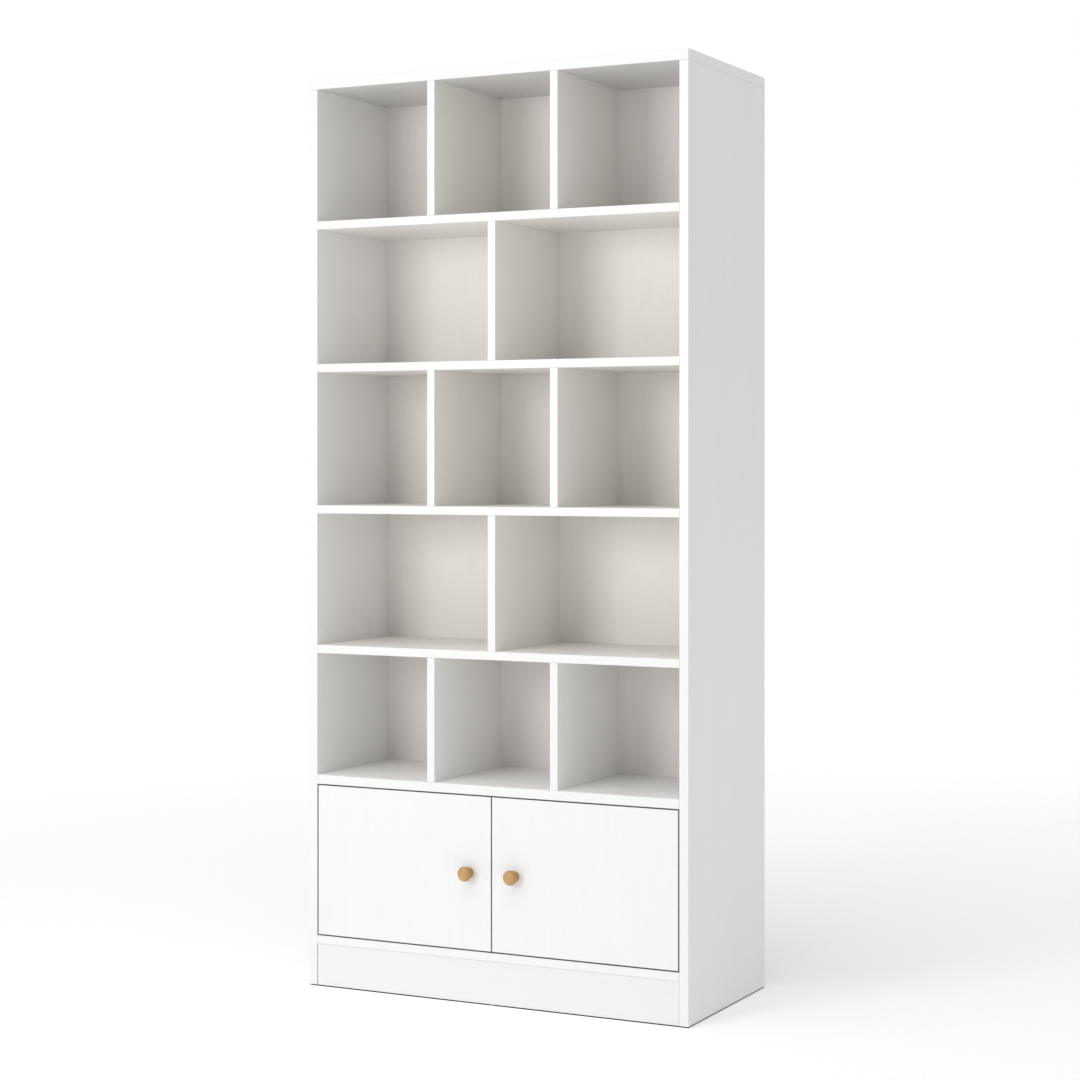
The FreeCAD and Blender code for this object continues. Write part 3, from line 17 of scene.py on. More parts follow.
import bmesh
import bpy
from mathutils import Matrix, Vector


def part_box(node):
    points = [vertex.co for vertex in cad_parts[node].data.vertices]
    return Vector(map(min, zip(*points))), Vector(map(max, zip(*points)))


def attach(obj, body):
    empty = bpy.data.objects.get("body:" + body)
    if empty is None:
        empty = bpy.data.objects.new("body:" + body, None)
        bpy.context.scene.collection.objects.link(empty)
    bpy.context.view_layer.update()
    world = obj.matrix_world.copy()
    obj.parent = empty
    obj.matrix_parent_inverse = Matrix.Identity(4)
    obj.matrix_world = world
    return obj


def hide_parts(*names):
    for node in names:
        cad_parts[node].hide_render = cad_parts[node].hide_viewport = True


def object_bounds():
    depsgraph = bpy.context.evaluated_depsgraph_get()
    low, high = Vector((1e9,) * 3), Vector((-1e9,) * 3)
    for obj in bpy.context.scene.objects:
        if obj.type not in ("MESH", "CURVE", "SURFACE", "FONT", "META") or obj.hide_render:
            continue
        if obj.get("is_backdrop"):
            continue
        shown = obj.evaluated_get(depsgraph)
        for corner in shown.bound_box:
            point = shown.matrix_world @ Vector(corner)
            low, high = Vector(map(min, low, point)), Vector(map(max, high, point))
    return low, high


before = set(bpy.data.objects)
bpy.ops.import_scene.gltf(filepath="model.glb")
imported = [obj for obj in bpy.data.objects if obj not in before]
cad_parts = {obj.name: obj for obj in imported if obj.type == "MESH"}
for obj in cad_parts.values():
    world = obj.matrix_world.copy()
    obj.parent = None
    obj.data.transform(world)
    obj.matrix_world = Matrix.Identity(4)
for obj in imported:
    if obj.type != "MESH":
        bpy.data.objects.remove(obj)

MM = 0.001
cad_low, cad_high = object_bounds()

# %% [markdown]
# ## Node trees as plain arithmetic
#
# Every finish below is a small calculation: so much of this noise, a little less of that one,
# and darker where the two meet an edge. Blender writes calculations as boxes and wires, and
# thirty boxes are hard to read. So a *wire* here is a Python value: adding or multiplying
# two wires places the Math node for us. The same two classes build the Geometry Nodes trees
# later on, because both kinds of tree share their Math nodes.


# %% Wires and graphs
def operator(operation, swapped=False):
    """A method of a wire that places one Math node."""
    def method(*values):
        graph = values[0].graph
        return graph.math(operation, *(reversed(values) if swapped else values))
    return method


class Wire:
    """The output of a node, for use in arithmetic such as 1 - wire."""

    def __init__(self, graph, socket):
        self.graph = graph
        self.socket = socket

    __add__ = __radd__ = operator("ADD")
    __sub__, __rsub__ = operator("SUBTRACT"), operator("SUBTRACT", swapped=True)
    __mul__ = __rmul__ = operator("MULTIPLY")
    __truediv__, __rtruediv__ = operator("DIVIDE"), operator("DIVIDE", swapped=True)
    __pow__ = operator("POWER")
    __gt__ = operator("GREATER_THAN")
    __abs__ = operator("ABSOLUTE")


class Graph:
    """A node tree under construction."""

    def __init__(self, tree):
        self.tree = tree

    def node(self, kind, settings=None, inputs=None, out=0):
        """Add a node: first its settings, then the values or wires of its sockets."""
        made = self.tree.nodes.new(kind)
        for name, value in (settings or {}).items():
            setattr(made, name, value)
        for name, value in (inputs or {}).items():
            for one in value if isinstance(value, list) else [value]:
                if isinstance(one, Wire):
                    self.tree.links.new(one.socket, made.inputs[name])
                else:
                    made.inputs[name].default_value = one
        return Wire(self, made.outputs[out])

    def end(self, kind, result):
        """Close the tree with a node that has only inputs."""
        self.tree.links.new(result.socket, self.tree.nodes.new(kind).inputs[0])

    def math(self, operation, *values):
        return self.node("ShaderNodeMath", {"operation": operation}, dict(enumerate(values)))

    def least(self, first, *others):
        for other in others:
            first = self.math("MINIMUM", first, other)
        return first

    def most(self, first, second):
        return self.math("MAXIMUM", first, second)

    def vector(self, operation, *values):
        return self.node("ShaderNodeVectorMath", {"operation": operation}, dict(enumerate(values)))

    def joined(self, x=0.0, y=0.0, z=0.0):
        """A vector from three numbers or wires."""
        return self.node("ShaderNodeCombineXYZ", inputs={"X": x, "Y": y, "Z": z})

    def parts(self, vector):
        """The three numbers of a vector."""
        first = self.node("ShaderNodeSeparateXYZ", inputs={"Vector": vector})
        return [Wire(self, socket) for socket in first.socket.node.outputs]

    def ramp(self, value, low, high, kind="SMOOTHSTEP"):
        """Rise from 0 to 1 as the value goes from low to high, either way round."""
        return self.node("ShaderNodeMapRange", {"interpolation_type": kind},
                         {"Value": value, "From Min": low, "From Max": high})

    def blend(self, amount, first, second):
        """Fade from the first colour to the second."""
        return self.node("ShaderNodeMix", {"data_type": "RGBA"}, {0: amount, 6: first, 7: second}, out=2)


# %% [markdown]
# ## A finish
#
# A finish is a material with one Principled shader. What is the same all over the surface is
# typed straight into the shader, and only what varies gets a wire. The noise reads *Object*
# coordinates, which on these pieces are real metres, so a scale of 500 gives a pattern of
# about two millimetres.


# %% Finishes
class Finish(Graph):
    """A material whose shader is a Principled one."""

    def __init__(self, name, **values):
        self.material = bpy.data.materials.new(name)
        self.material.use_nodes = True
        super().__init__(self.material.node_tree)
        shader = next(node for node in self.tree.nodes if node.type == "BSDF_PRINCIPLED")
        self.sockets = {socket.name.lower().replace(" ", "_"): socket for socket in shader.inputs}
        self.place = self.node("ShaderNodeTexCoord", out="Object")
        self.drive(**values)

    def drive(self, **values):
        """Set sockets of the shader, named in lower case with underscores."""
        for name, value in values.items():
            if isinstance(value, Wire):
                self.tree.links.new(value.socket, self.sockets[name])
            else:
                self.sockets[name].default_value = value

    def noise(self, place, scale, detail=2.0, twist=0.0):
        """Soft noise between 0 and 1."""
        return self.node("ShaderNodeTexNoise", inputs={
            "Vector": place, "Scale": scale, "Detail": detail, "Distortion": twist})

    def emboss(self, height, depth, strength=0.6):
        """Tilt the surface by a height, which is in units of the depth."""
        self.drive(normal=self.node("ShaderNodeBump", inputs={
            "Height": height, "Distance": depth, "Strength": strength}))


def dress(name, finish):
    """Give a node of the frame its finish."""
    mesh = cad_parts[name].data
    mesh.materials.clear()
    mesh.materials.append(finish.material)


def squeeze(along, share):
    """Factors that shorten one axis only."""
    return tuple(share if axis == along else 1.0 for axis in range(3))


def tone(value, warmth=0.0):
    """A nearly neutral colour; warmth takes some blue and a little green away."""
    return (value, value * (1 - 0.4 * warmth), value * (1 - warmth), 1.0)


# %% [markdown]
# ## White melamine
#
# Melamine is paper soaked in resin, printed with a pale wood grain and pressed on to the
# board together with a plate that leaves fine pores. So the grain is two things at once:
# streaks that are a shade greyer, and tiny furrows that catch the light. Noise becomes grain
# when it is stretched: we squeeze the coordinate that runs along the grain, and a round blob
# turns into a streak thirty times as long as it is wide.

# %% Grain
ALONG_X, ALONG_Y, ALONG_Z = range(3)
STREAK_STRETCH, PORE_STRETCH = 0.03, 0.012
WAVER = 30 * MM
luck = random.Random(41)  # every board shifts its pattern by a step of its own


def grain(finish, along):
    """Streaks and fine pores that run along one axis, both between 0 and 1."""
    moved = finish.vector("ADD", finish.place, tuple(luck.uniform(-9, 9) for axis in range(3)))
    stretched = finish.vector("MULTIPLY", moved, squeeze(along, STREAK_STRETCH))
    waver = WAVER * (finish.noise(stretched, 7.0, 1.0) - 0.5)
    waved = finish.vector("ADD", stretched, waver)
    streaks = (0.20 * finish.noise(waved, 26.0) + 0.45 * finish.noise(waved, 120.0)
               + 0.35 * finish.noise(waved, 620.0, 1.0))
    furrowed = finish.vector("MULTIPLY", moved, squeeze(along, PORE_STRETCH))
    pores = finish.ramp(finish.noise(furrowed, 1300.0, 1.0), 0.60, 0.72)
    return finish.ramp(streaks, 0.38, 0.62), pores


# %% [markdown]
# ## Edges, bands and joints
#
# Three sums tell the shader where it is on a board, all from the board's own box. The distance to the nearest
# edge of a face is the *second smallest* of the distances to the three pairs of faces: there the white is
# rubbed a little. The depth behind the front tells the glued-on edge band, one millimetre thick, from the
# face. Doors and kick board turn their face to the front, so they have no band there. And the distance to the
# planes where another board butts against this one draws the hairline of the joint: painted shade for the
# shadow in the seam.
#
# Two more places are not white. The ends that stand on the floor are left bare, so the pressed chips show
# there, and their dark tone is also painted shade under the board. And in the narrow gap round a door the
# edges get painted shade, most of it near the front, which makes such a gap look like a drawn line.

# %% Melamine
BAND_THICK = 0.9 * MM
# The warmth of the inner boards is painted light: the warm light bounced about inside the spaces.
WHITE, PAINTED_BOUNCE_WARMTH = 0.900, 0.070
STREAK_DEPTH = 0.020
BAND_WHITE = tone(0.862, 0.008)
PORE_GREY = tone(0.62, 0.08)
# Painted shade in the seams:
JOINT_SHADE_GREY = tone(0.24, 0.10)
# Bare chips, whose dark tone is also painted shade under a board:
SHADED_CHIPS = (0.36, 0.26, 0.16, 1.0)
# Painted shade for the gaps round the doors:
GAP_SHADE_GREY = tone(0.42, 0.02)
SOFT_EDGE, GAP_SHADE_EDGE, RUB_WANDERS = 0.1 * MM, 0.4 * MM, 0.8 * MM
# Pairs of distances: none of it at the first, all of it at the second.
GAP_SHADE_FADES, SHADED_CHIPS_FADE = (12 * MM, 3 * MM), (0.3 * MM, 0.1 * MM)
GLUE_FADES, RUB_FADES = (0.20 * MM, 0.08 * MM), (1.5 * MM, 0.5 * MM)
PORES_SHOW, GLUE_SHOWS, RUB_SHOWS = 0.10, 0.20, 0.12
FURROW_DEPTH = 0.08 * MM


def nearest_edge(finish, low, high):
    """Distance to the nearest edge of the face of a box."""
    middle, half = (low + high) / 2, (high - low) / 2
    away = [half[axis] - abs(place - middle[axis])
            for axis, place in enumerate(finish.parts(finish.place))]
    nearer, farther = finish.least(away[0], away[1]), finish.most(away[0], away[1])
    return finish.most(nearer, finish.least(farther, away[2]))


def melamine(name, box, along, joints=(), warmth=PAINTED_BOUNCE_WARMTH, white=WHITE, contrast=1.0, banded=True,
             bare_shaded_foot=False, gap_shade=()):
    """White grained melamine for one board, with an edge band in front if it is banded.

    joints are (axis, place, darkness, width) of the painted shade in a seam, and the gap boxes are (axis, low,
    high) of the part that gets painted shade round a door.
    """
    low, high = box
    finish = Finish(name)
    streaks, pores = grain(finish, along)
    smudge = finish.noise(finish.place, 6.0)
    spot = finish.parts(finish.place)
    edge = nearest_edge(finish, low, high) + RUB_WANDERS * finish.noise(finish.place, 90.0)
    rub = finish.ramp(edge, *RUB_FADES)
    depth = spot[ALONG_Y] - low.y
    band = finish.ramp(depth, BAND_THICK + SOFT_EDGE, BAND_THICK - SOFT_EDGE) if banded else 0.0
    glue_line = finish.ramp(abs(depth - BAND_THICK), *GLUE_FADES)
    colour = finish.blend(contrast * streaks, tone(white, warmth), tone(white - STREAK_DEPTH, warmth))
    colour = finish.blend(PORES_SHOW * contrast * pores, colour, PORE_GREY)
    colour = finish.blend(band, colour, BAND_WHITE)
    colour = finish.blend(GLUE_SHOWS * glue_line + RUB_SHOWS * rub, colour, PORE_GREY)
    # Joint hairlines: painted shade for the shadow in each seam.
    for axis, place, darkness, width in joints:
        line = finish.ramp(abs(spot[axis] - place), 1.1 * width, 0.5 * width)
        colour = finish.blend(darkness * line, colour, JOINT_SHADE_GREY)
    # Painted shade in the narrow gap round a door, strongest near the front.
    if gap_shade:
        inside = [finish.least(spot[axis] - start, end - spot[axis]) for axis, start, end in gap_shade]
        gap_shade_amount = finish.ramp(finish.least(*inside), 0.0, GAP_SHADE_EDGE) * finish.ramp(depth, *GAP_SHADE_FADES)
        colour = finish.blend(gap_shade_amount, colour, GAP_SHADE_GREY)
    # Bare chipboard at the foot, dark enough to be painted shade under the board as well.
    if bare_shaded_foot:
        colour = finish.blend(finish.ramp(spot[ALONG_Z] - low.z, *SHADED_CHIPS_FADE), colour, SHADED_CHIPS)
    finish.drive(base_color=colour,
                 roughness=0.36 + 0.12 * pores + 0.10 * smudge - 0.06 * band + 0.08 * rub)
    finish.emboss((0.5 * streaks - pores) * (1 - band), FURROW_DEPTH)
    return finish


# %% [markdown]
# ## Which way the grain runs
#
# A cutter lays out the boards so that the grain runs the long way of each piece: up the sides
# and dividers, across the shelves, the top and the kick board. On the doors it runs upwards
# too. Every board shifts the pattern by a random step of its own, drawn from one fixed seed,
# because two boards with the same streaks side by side would look printed.
#
# White is not one colour here either, and the tones carry painted light. The boards of the lowest open row are
# painted whiter and cooler, as painted light, and the kick board a little greyer than the doors above it, as
# painted shade. The inner boards and the printed back are a warmer white than the outer ones: painted light
# for the warm light that bounces about inside the spaces. One loop dresses all the boards, and a dictionary
# holds what some of them have of their own.

# %% Dress the boards
# Joint lines are painted shade for the shadow in a seam.
FAINT, OPEN = (0.30, 0.5 * MM), (1.0, 1.8 * MM)  # darkness and width of a joint
# Painted shade round the doors: how far it reaches past them, and the clean strip where two faces meet.
GAP_SHADE_REACH, CLEAN_CORNER = 3 * MM, 0.5 * MM  # past the doors, and where two faces meet

lying = [f"shelf_{row}" for row in range(1, 6)] + ["bottom_panel", "plinth_rear_rail", "kick_board"]
standing = [name for name in sorted(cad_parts) if name.startswith("divider_")] + ["cabinet_partition"]
outer = ["side_panel_left", "left_door", "side_panel_right", "right_door", "top_panel"]

door_low, door_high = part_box("left_door")
door_high.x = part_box("right_door")[1].x
# Where the painted gap shade lies: on the carcass round the doors and on the door edges.
around_doors = [(axis, door_low[axis] - GAP_SHADE_REACH, door_high[axis] + GAP_SHADE_REACH) for axis in range(3)]
around_doors[ALONG_Y] = (ALONG_Y, door_low.y + CLEAN_CORNER, door_high.y)
door_edges = [(ALONG_Y, door_low.y + CLEAN_CORNER, door_high.y - CLEAN_CORNER)]

# Painted light: the lowest open row is painted whiter and cooler. Painted shade: the kick board is greyer than
# the doors.
row_five_painted_light = {"white": 0.935, "warmth": 0.030}
front = {"warmth": 0.010, "contrast": 0.5, "banded": False}
side_panel = {"warmth": 0.022, "contrast": 0.7, "bare_shaded_foot": True, "gap_shade": around_doors}
door = {**front, "white": 0.868, "gap_shade": door_edges}
of_their_own = {
    "shelf_5": {**row_five_painted_light, "gap_shade": around_doors}, "divider_5_left": row_five_painted_light, "divider_5_right": row_five_painted_light,
    "bottom_panel": {"gap_shade": around_doors}, "plinth_rear_rail": {"bare_shaded_foot": True},
    "kick_board": {**front, "white": 0.836, "bare_shaded_foot": True}, "top_panel": {"warmth": 0.022},
    "side_panel_left": side_panel, "side_panel_right": side_panel, "left_door": door, "right_door": door,
}
for name in lying + standing + outer:
    low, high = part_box(name)
    along = ALONG_X if name in lying + ["top_panel"] else ALONG_Z
    start, end = (along, low[along], *FAINT), (along, high[along], *FAINT)
    foot, head = (ALONG_Z, low.z, *FAINT), (ALONG_Z, high.z, *FAINT)
    joints = {"kick_board": [(along, low.x, *OPEN), end, head], "bottom_panel": [start, end, foot],
              "side_panel_left": [head], "side_panel_right": [head], "top_panel": [foot],
              "left_door": [], "right_door": []}.get(name, [start, end])
    dress(name, melamine(f"{name}_melamine", (low, high), along, joints, **of_their_own.get(name, {})))
print(f"{len(lying)} boards across, {len(standing)} uprights, 2 sides, 2 doors and the top")

# %% [markdown]
# ## The back
#
# The back is three sheets of hardboard in a groove. In front they carry the same printed
# white as the boards. Behind they are bare: brown pressed fibre with the mark of the wire
# mesh that the wet pulp was drained on. One material does both, because a mask that reads
# the depth tells which side of the sheet we are on.

# %% Hardboard
FIBRE = (0.30, 0.17, 0.085, 1.0)
FIBRE_LIGHT = (0.42, 0.26, 0.14, 1.0)
MESH_PITCH = 1.6 * MM
PRINTED_PORES_SHOW = 0.12


def hardboard(name, box):
    """Printed white in front, bare brown fibre behind."""
    low, high = box
    finish = Finish(name)
    streaks, pores = grain(finish, ALONG_Z)
    across, depth, up = finish.parts(finish.place)
    middle = (low.y + high.y) / 2
    bare = finish.ramp(depth, middle - SOFT_EDGE, middle + SOFT_EDGE)
    turns = 2 * math.pi / MESH_PITCH
    weave = finish.math("SINE", across * turns) * finish.math("SINE", up * turns)
    clouds = finish.noise(finish.place, 14.0, 5.0)
    fibres = finish.noise(finish.place, 700.0, 3.0, 1.5)
    brown = finish.blend(finish.ramp(0.6 * clouds + 0.4 * fibres, 0.38, 0.62), FIBRE, FIBRE_LIGHT)
    # The warm tint of the printed white is painted bounce light from inside the spaces.
    white = finish.blend(streaks, tone(WHITE, PAINTED_BOUNCE_WARMTH), tone(WHITE - STREAK_DEPTH, PAINTED_BOUNCE_WARMTH))
    white = finish.blend(PRINTED_PORES_SHOW * pores, white, PORE_GREY)
    finish.drive(base_color=finish.blend(bare, white, brown),
                 roughness=0.42 + 0.08 * pores + 0.38 * bare)
    finish.emboss((0.5 * streaks - pores) * (1 - bare) + 2 * (weave + fibres) * bare, FURROW_DEPTH)
    return finish


back_sheets = [f"back_sheet_{part}" for part in ("upper", "middle", "lower")]
for name in back_sheets:
    dress(name, hardboard(f"{name}_hardboard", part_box(name)))
print(f"{len(back_sheets)} back sheets, mesh marks every {MESH_PITCH / MM:.1f} mm")

# %% [markdown]
# ## Beech
#
# Across the end of the wood the yearly rings are arcs about a heart that lies outside the piece; along it they
# are lines. Both come from one sum: the distance from an axis that runs through the heart. Beech also has
# short brown flecks, which are noise squeezed along the grain. On the knobs the rim and the hollow neck are
# painted darker: painted shade where the rim turns away from the light and where the neck lies in the shadow
# of the head. A coat on top is the satin lacquer.

# %% Beech finish
RING_GAP = 2.1 * MM
EARLY_WOOD = (0.585, 0.340, 0.120, 1.0)
LATE_WOOD = (0.485, 0.248, 0.072, 1.0)
FLECK = (0.29, 0.13, 0.05, 1.0)
# Painted shade on the knobs:
KNOB_SHADE_BROWN = (0.31, 0.15, 0.05, 1.0)


def beech(name, heart, along=ALONG_Y, flecks=0.45, painted_shade=None, **values):
    """Wood whose rings lie about an axis through the heart; the shade function tells how much painted shade
    lies where.
    """
    finish = Finish(name, **values)
    from_heart = finish.vector("SUBTRACT", finish.place, heart)

    def along_by(share):
        return finish.vector("MULTIPLY", from_heart, squeeze(along, share))

    wobble = 3 * MM * (finish.noise(along_by(0.15), 60.0) - 0.5)
    radius = finish.node("ShaderNodeVectorMath", {"operation": "LENGTH"}, {0: along_by(0.0)}, out="Value")
    rings = finish.math("FRACT", (radius + wobble) / RING_GAP) ** 1.6
    lines = finish.noise(along_by(0.03), 1500.0)
    dashes = finish.ramp(finish.noise(along_by(0.22), 1900.0, 1.0), 0.66, 0.74)
    wood = finish.blend(0.45 * rings + 0.40 * lines, EARLY_WOOD, LATE_WOOD)
    wood = finish.blend(flecks * dashes, wood, FLECK)
    # Painted shade at the rim and in the hollow neck.
    if painted_shade:
        wood = finish.blend(painted_shade(finish), wood, KNOB_SHADE_BROWN)
    finish.drive(base_color=wood, roughness=0.40 + 0.12 * lines)
    finish.emboss(0.5 * lines - dashes, 0.05 * MM)
    return finish


# %% [markdown]
# ## Turning the knobs
#
# A lathe makes a shape of revolution, so all that we draw is half an outline: foot, hollow
# neck, rounded rim and a shallow dome, each an arc that is tangent to the next. The outline
# is then carried round in many steps. Mesh code suits this better than a modifier, because
# the two poles can be closed with a single vertex each.

# %% Knob outline
RIM_ROUND, RIM_REACH = 4.5 * MM, 18 * MM
NECK, HOLLOW = 8 * MM, 6 * MM
FOOT_EDGE, FOOT_EASE = 3.5 * MM, 0.6 * MM  # the sharp foot is eased with abrasive paper


def arc(centre, radius, start, end, steps):
    """Points of an arc as (across, out), between two angles in degrees."""
    angles = [math.radians(start + (end - start) * n / steps) for n in range(steps + 1)]
    return [(centre[0] + radius * math.cos(a), centre[1] + radius * math.sin(a)) for a in angles]


def bearing(start, end):
    """Direction in degrees from one point to another, from 0 to 360."""
    return math.degrees(math.atan2(end[1] - start[1], end[0] - start[0])) % 360


def knob_outline(head, reach):
    """Half outline of the knob, from the edge of its foot nearly to its tip."""
    rim = (head - RIM_ROUND, RIM_REACH)
    inward = reach - RIM_ROUND
    dome_out = (rim[0] ** 2 + RIM_REACH ** 2 - inward ** 2) / (2 * (RIM_REACH - inward))
    dome = (0.0, dome_out)
    across = NECK + HOLLOW
    hollow = (across, RIM_REACH - math.sqrt((RIM_ROUND + HOLLOW) ** 2 - (across - rim[0]) ** 2))
    foot = across - math.sqrt(HOLLOW ** 2 - (hollow[1] - FOOT_EDGE) ** 2)
    outline = arc((foot - FOOT_EASE, FOOT_EASE), FOOT_EASE, -90, 0, 4)
    outline += arc(hollow, HOLLOW, bearing(hollow, (foot, FOOT_EDGE)), bearing(hollow, rim), 14)
    outline += arc(rim, RIM_ROUND, bearing(rim, hollow) - 360, bearing(dome, rim), 20)[1:]
    return outline + arc(dome, reach - dome_out, bearing(dome, rim), 90, 14)[1:-1]


# %% Turn them
TURN_STEPS = 72


def in_scene(name, data):
    """A new object at the origin of the scene."""
    made = bpy.data.objects.new(name, data)
    bpy.context.scene.collection.objects.link(made)
    return made


def as_object(name, mesh):
    """An object from mesh code."""
    data = bpy.data.meshes.new(name)
    mesh.to_mesh(data)
    mesh.free()
    return in_scene(name, data)


def smooth(piece, sharpest=35):
    """Shade a piece smoothly but for edges that turn by more than some degrees."""
    piece.data.polygons.foreach_set("use_smooth", [True] * len(piece.data.polygons))
    piece.data.set_sharp_from_angle(angle=math.radians(sharpest))


def turned_on_door(name, outline, foot, reach):
    """Carry an outline round an axis that points to -Y, from a closed foot to a closed tip."""
    mesh = bmesh.new()
    turns = [2 * math.pi * step / TURN_STEPS for step in range(TURN_STEPS)]
    rings = [[mesh.verts.new(foot + Vector((across * math.cos(a), -out, across * math.sin(a))))
              for a in turns] for across, out in outline]
    poles = [mesh.verts.new(foot - Vector((0, out, 0))) for out in (0.0, reach)]
    for n in range(TURN_STEPS):
        after = (n + 1) % TURN_STEPS
        for ring, next_ring in zip(rings, rings[1:]):
            mesh.faces.new((ring[n], next_ring[n], next_ring[after], ring[after]))
        mesh.faces.new((rings[0][n], rings[0][after], poles[0]))
        mesh.faces.new((rings[-1][after], rings[-1][n], poles[1]))
    bmesh.ops.recalc_face_normals(mesh, faces=mesh.faces)
    return as_object(name, mesh)


# %% Paint shade on them and mount them
# How much painted shade the rim and the hollow neck get.
RIM_SHADE_SHARE, HOLLOW_SHADE_SHARE = 0.55, 0.50
RIM_STARTS = 0.70  # as a share of the head's radius
HOLLOW_FADES, FOOT_FADES = (4 * MM, 7 * MM), (0.0, -4 * MM)


def painted_knob_shade(foot, head):
    """Painted shade at the rim of the head and in the hollow behind it."""
    def amount(finish):
        across, out, up = finish.parts(finish.vector("SUBTRACT", finish.place, foot))
        from_axis = finish.math("SQRT", across * across + up * up)
        rim = finish.ramp(from_axis, RIM_STARTS * head, head)
        hollow = finish.ramp(out + RIM_REACH, *HOLLOW_FADES) * finish.ramp(out, *FOOT_FADES)
        return finish.most(RIM_SHADE_SHARE * rim * (1 - hollow), HOLLOW_SHADE_SHARE * hollow)
    return amount


for side in ("left", "right"):
    low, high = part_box(f"{side}_knob")
    head, reach = (high.x - low.x) / 2, high.y - low.y
    foot = Vector(((low.x + high.x) / 2, high.y, (low.z + high.z) / 2))
    knob = turned_on_door(f"{side}_turned_knob", knob_outline(head, reach), foot, reach)
    heart = foot + Vector((luck.uniform(-4, 4), 0, -luck.uniform(24, 30))) * MM
    lacquered = beech(f"{side}_knob_beech", heart, painted_shade=painted_knob_shade(foot, head),
                     coat_weight=0.35, coat_roughness=0.25)
    knob.data.materials.append(lacquered.material)
    smooth(knob)
    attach(knob, f"{side}_door")
    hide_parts(f"{side}_knob")
    print(f"{knob.name}: {2 * head / MM:.1f} mm across, {reach / MM:.1f} mm from the door")

# %% [markdown]
# ## Metals and plastics
#
# The fittings are bright but not mirrors. Plating follows the fine scratches of the drawn
# steel under it, castings are dull and pitted, and moulded plastic is smooth with a faint
# mottling. One function makes them all from a colour, how rough it is and how unevenly.

# %% Fittings
MOTTLED = 0.82  # how dark the darkest spots are
DRAWN = 0.15  # width of a scratch over its length


def fitting(name, colour, rough, uneven, metallic=0.0, scale=400.0, depth=0.01 * MM):
    """A metal or plastic whose gloss and height vary a little."""
    finish = Finish(name, metallic=metallic)
    stretched = finish.vector("MULTIPLY", finish.place, squeeze(ALONG_Y, DRAWN if metallic else 1.0))
    drawn = finish.noise(stretched, scale, 3.0)
    dull = finish.noise(finish.place, 90.0, 3.0)
    darker = tuple(MOTTLED * part for part in colour) + (1.0,)
    spots = finish.ramp(0.5 * (dull + drawn), 0.35, 0.65)
    finish.drive(base_color=finish.blend(spots, (*colour, 1.0), darker),
                 roughness=rough + uneven * (drawn - 0.5) + 0.5 * uneven * (dull - 0.5))
    finish.emboss(drawn, depth)
    return finish


nickel = fitting("bright_nickel", (0.66, 0.63, 0.58), 0.26, 0.16, metallic=1.0)
zinc = fitting("blue_zinc", (0.60, 0.61, 0.63), 0.36, 0.22, metallic=1.0)
cast_zinc = fitting("cast_zinc", (0.42, 0.42, 0.43), 0.52, 0.20, metallic=1.0, depth=0.05 * MM)
ferrite = fitting("magnet_ferrite", (0.055, 0.055, 0.06), 0.50, 0.15, metallic=0.3, depth=0.03 * MM)
powder_coat = fitting("white_powder_coat", (0.83, 0.83, 0.82), 0.48, 0.12, scale=900.0, depth=0.04 * MM)
cap_plastic = fitting("cap_plastic", (0.84, 0.84, 0.825), 0.40, 0.10)
glide_plastic = fitting("glide_nylon", (0.70, 0.70, 0.68), 0.46, 0.10)

hinge_nodes = [f"{side}_{level}_hinge_{part}" for side in ("left", "right")
               for level in ("upper", "lower") for part in ("cup", "arm", "plate")]
fitting_nodes = {
    nickel: hinge_nodes + ["hinge_pins"],
    zinc: ["cam_bolts", "left_strike_plate", "right_strike_plate"],
    cast_zinc: ["cam_locks"],
    ferrite: ["catch_magnets"],
    powder_coat: ["wall_brackets"],
    cap_plastic: ["left_catch", "right_catch", "back_joining_strips"],
}
for finish, names in fitting_nodes.items():
    for name in names:
        dress(name, finish)
    print(f"{finish.material.name}: {len(names)} nodes")

# %% [markdown]
# ## Where the fasteners sit
#
# Screws, nails, caps, dowels and glides repeat dozens of times, and the frame holds all of
# one kind in one node. To make them again we need to know where each one sits and which way
# it faces. A copy of the node's mesh is merged and split into its separate solids. The
# widest ring of a solid is the rim of its head, so the fastener faces the side it is on.

# %% Find the seats
SAME_POINT = 0.001 * MM
ON_THE_RIM = 0.99  # share of the greatest distance from the axis


def solids_of(name):
    """The points of each separate solid in a node, in a settled order."""
    mesh = bmesh.new()
    mesh.from_mesh(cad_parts[name].data)
    bmesh.ops.remove_doubles(mesh, verts=mesh.verts, dist=SAME_POINT)
    waiting = set(mesh.verts)
    solids = []
    for vertex in mesh.verts:
        if vertex not in waiting:
            continue
        waiting.discard(vertex)
        queue, solid = [vertex], []
        while queue:
            reached = queue.pop()
            solid.append(reached.co.copy())
            near = {edge.other_vert(reached) for edge in reached.link_edges} & waiting
            waiting -= near
            queue += near
        solids.append(solid)
    mesh.free()
    return sorted(solids, key=lambda solid: [round(sum(v[n] for v in solid) / len(solid), 4)
                                             for n in range(3)])


def span(points):
    """Lowest and highest corner of some points."""
    return [Vector([pick(v[n] for v in points) for n in range(3)]) for pick in (min, max)]


def seat_of(solid, flat=False):
    """Outer end, facing, length and width of a fastener. A flat one is shortest along its axis."""
    low, high = span(solid)
    size, middle = high - low, (low + high) / 2
    axis = (min if flat else max)(range(3), key=lambda n: round(size[n], 4))
    beside = [n for n in range(3) if n != axis]
    out = [math.dist([v[n] for n in beside], [middle[n] for n in beside]) for v in solid]
    rim = [v[axis] - middle[axis] for v, far in zip(solid, out) if far > ON_THE_RIM * max(out)]
    sign = math.copysign(1.0, sum(rim)) * (-1 if flat else 1)
    facing = Vector([sign * (n == axis) for n in range(3)])
    return {"top": middle + facing * size[axis] / 2, "facing": facing,
            "long": size[axis], "wide": 2 * max(out)}


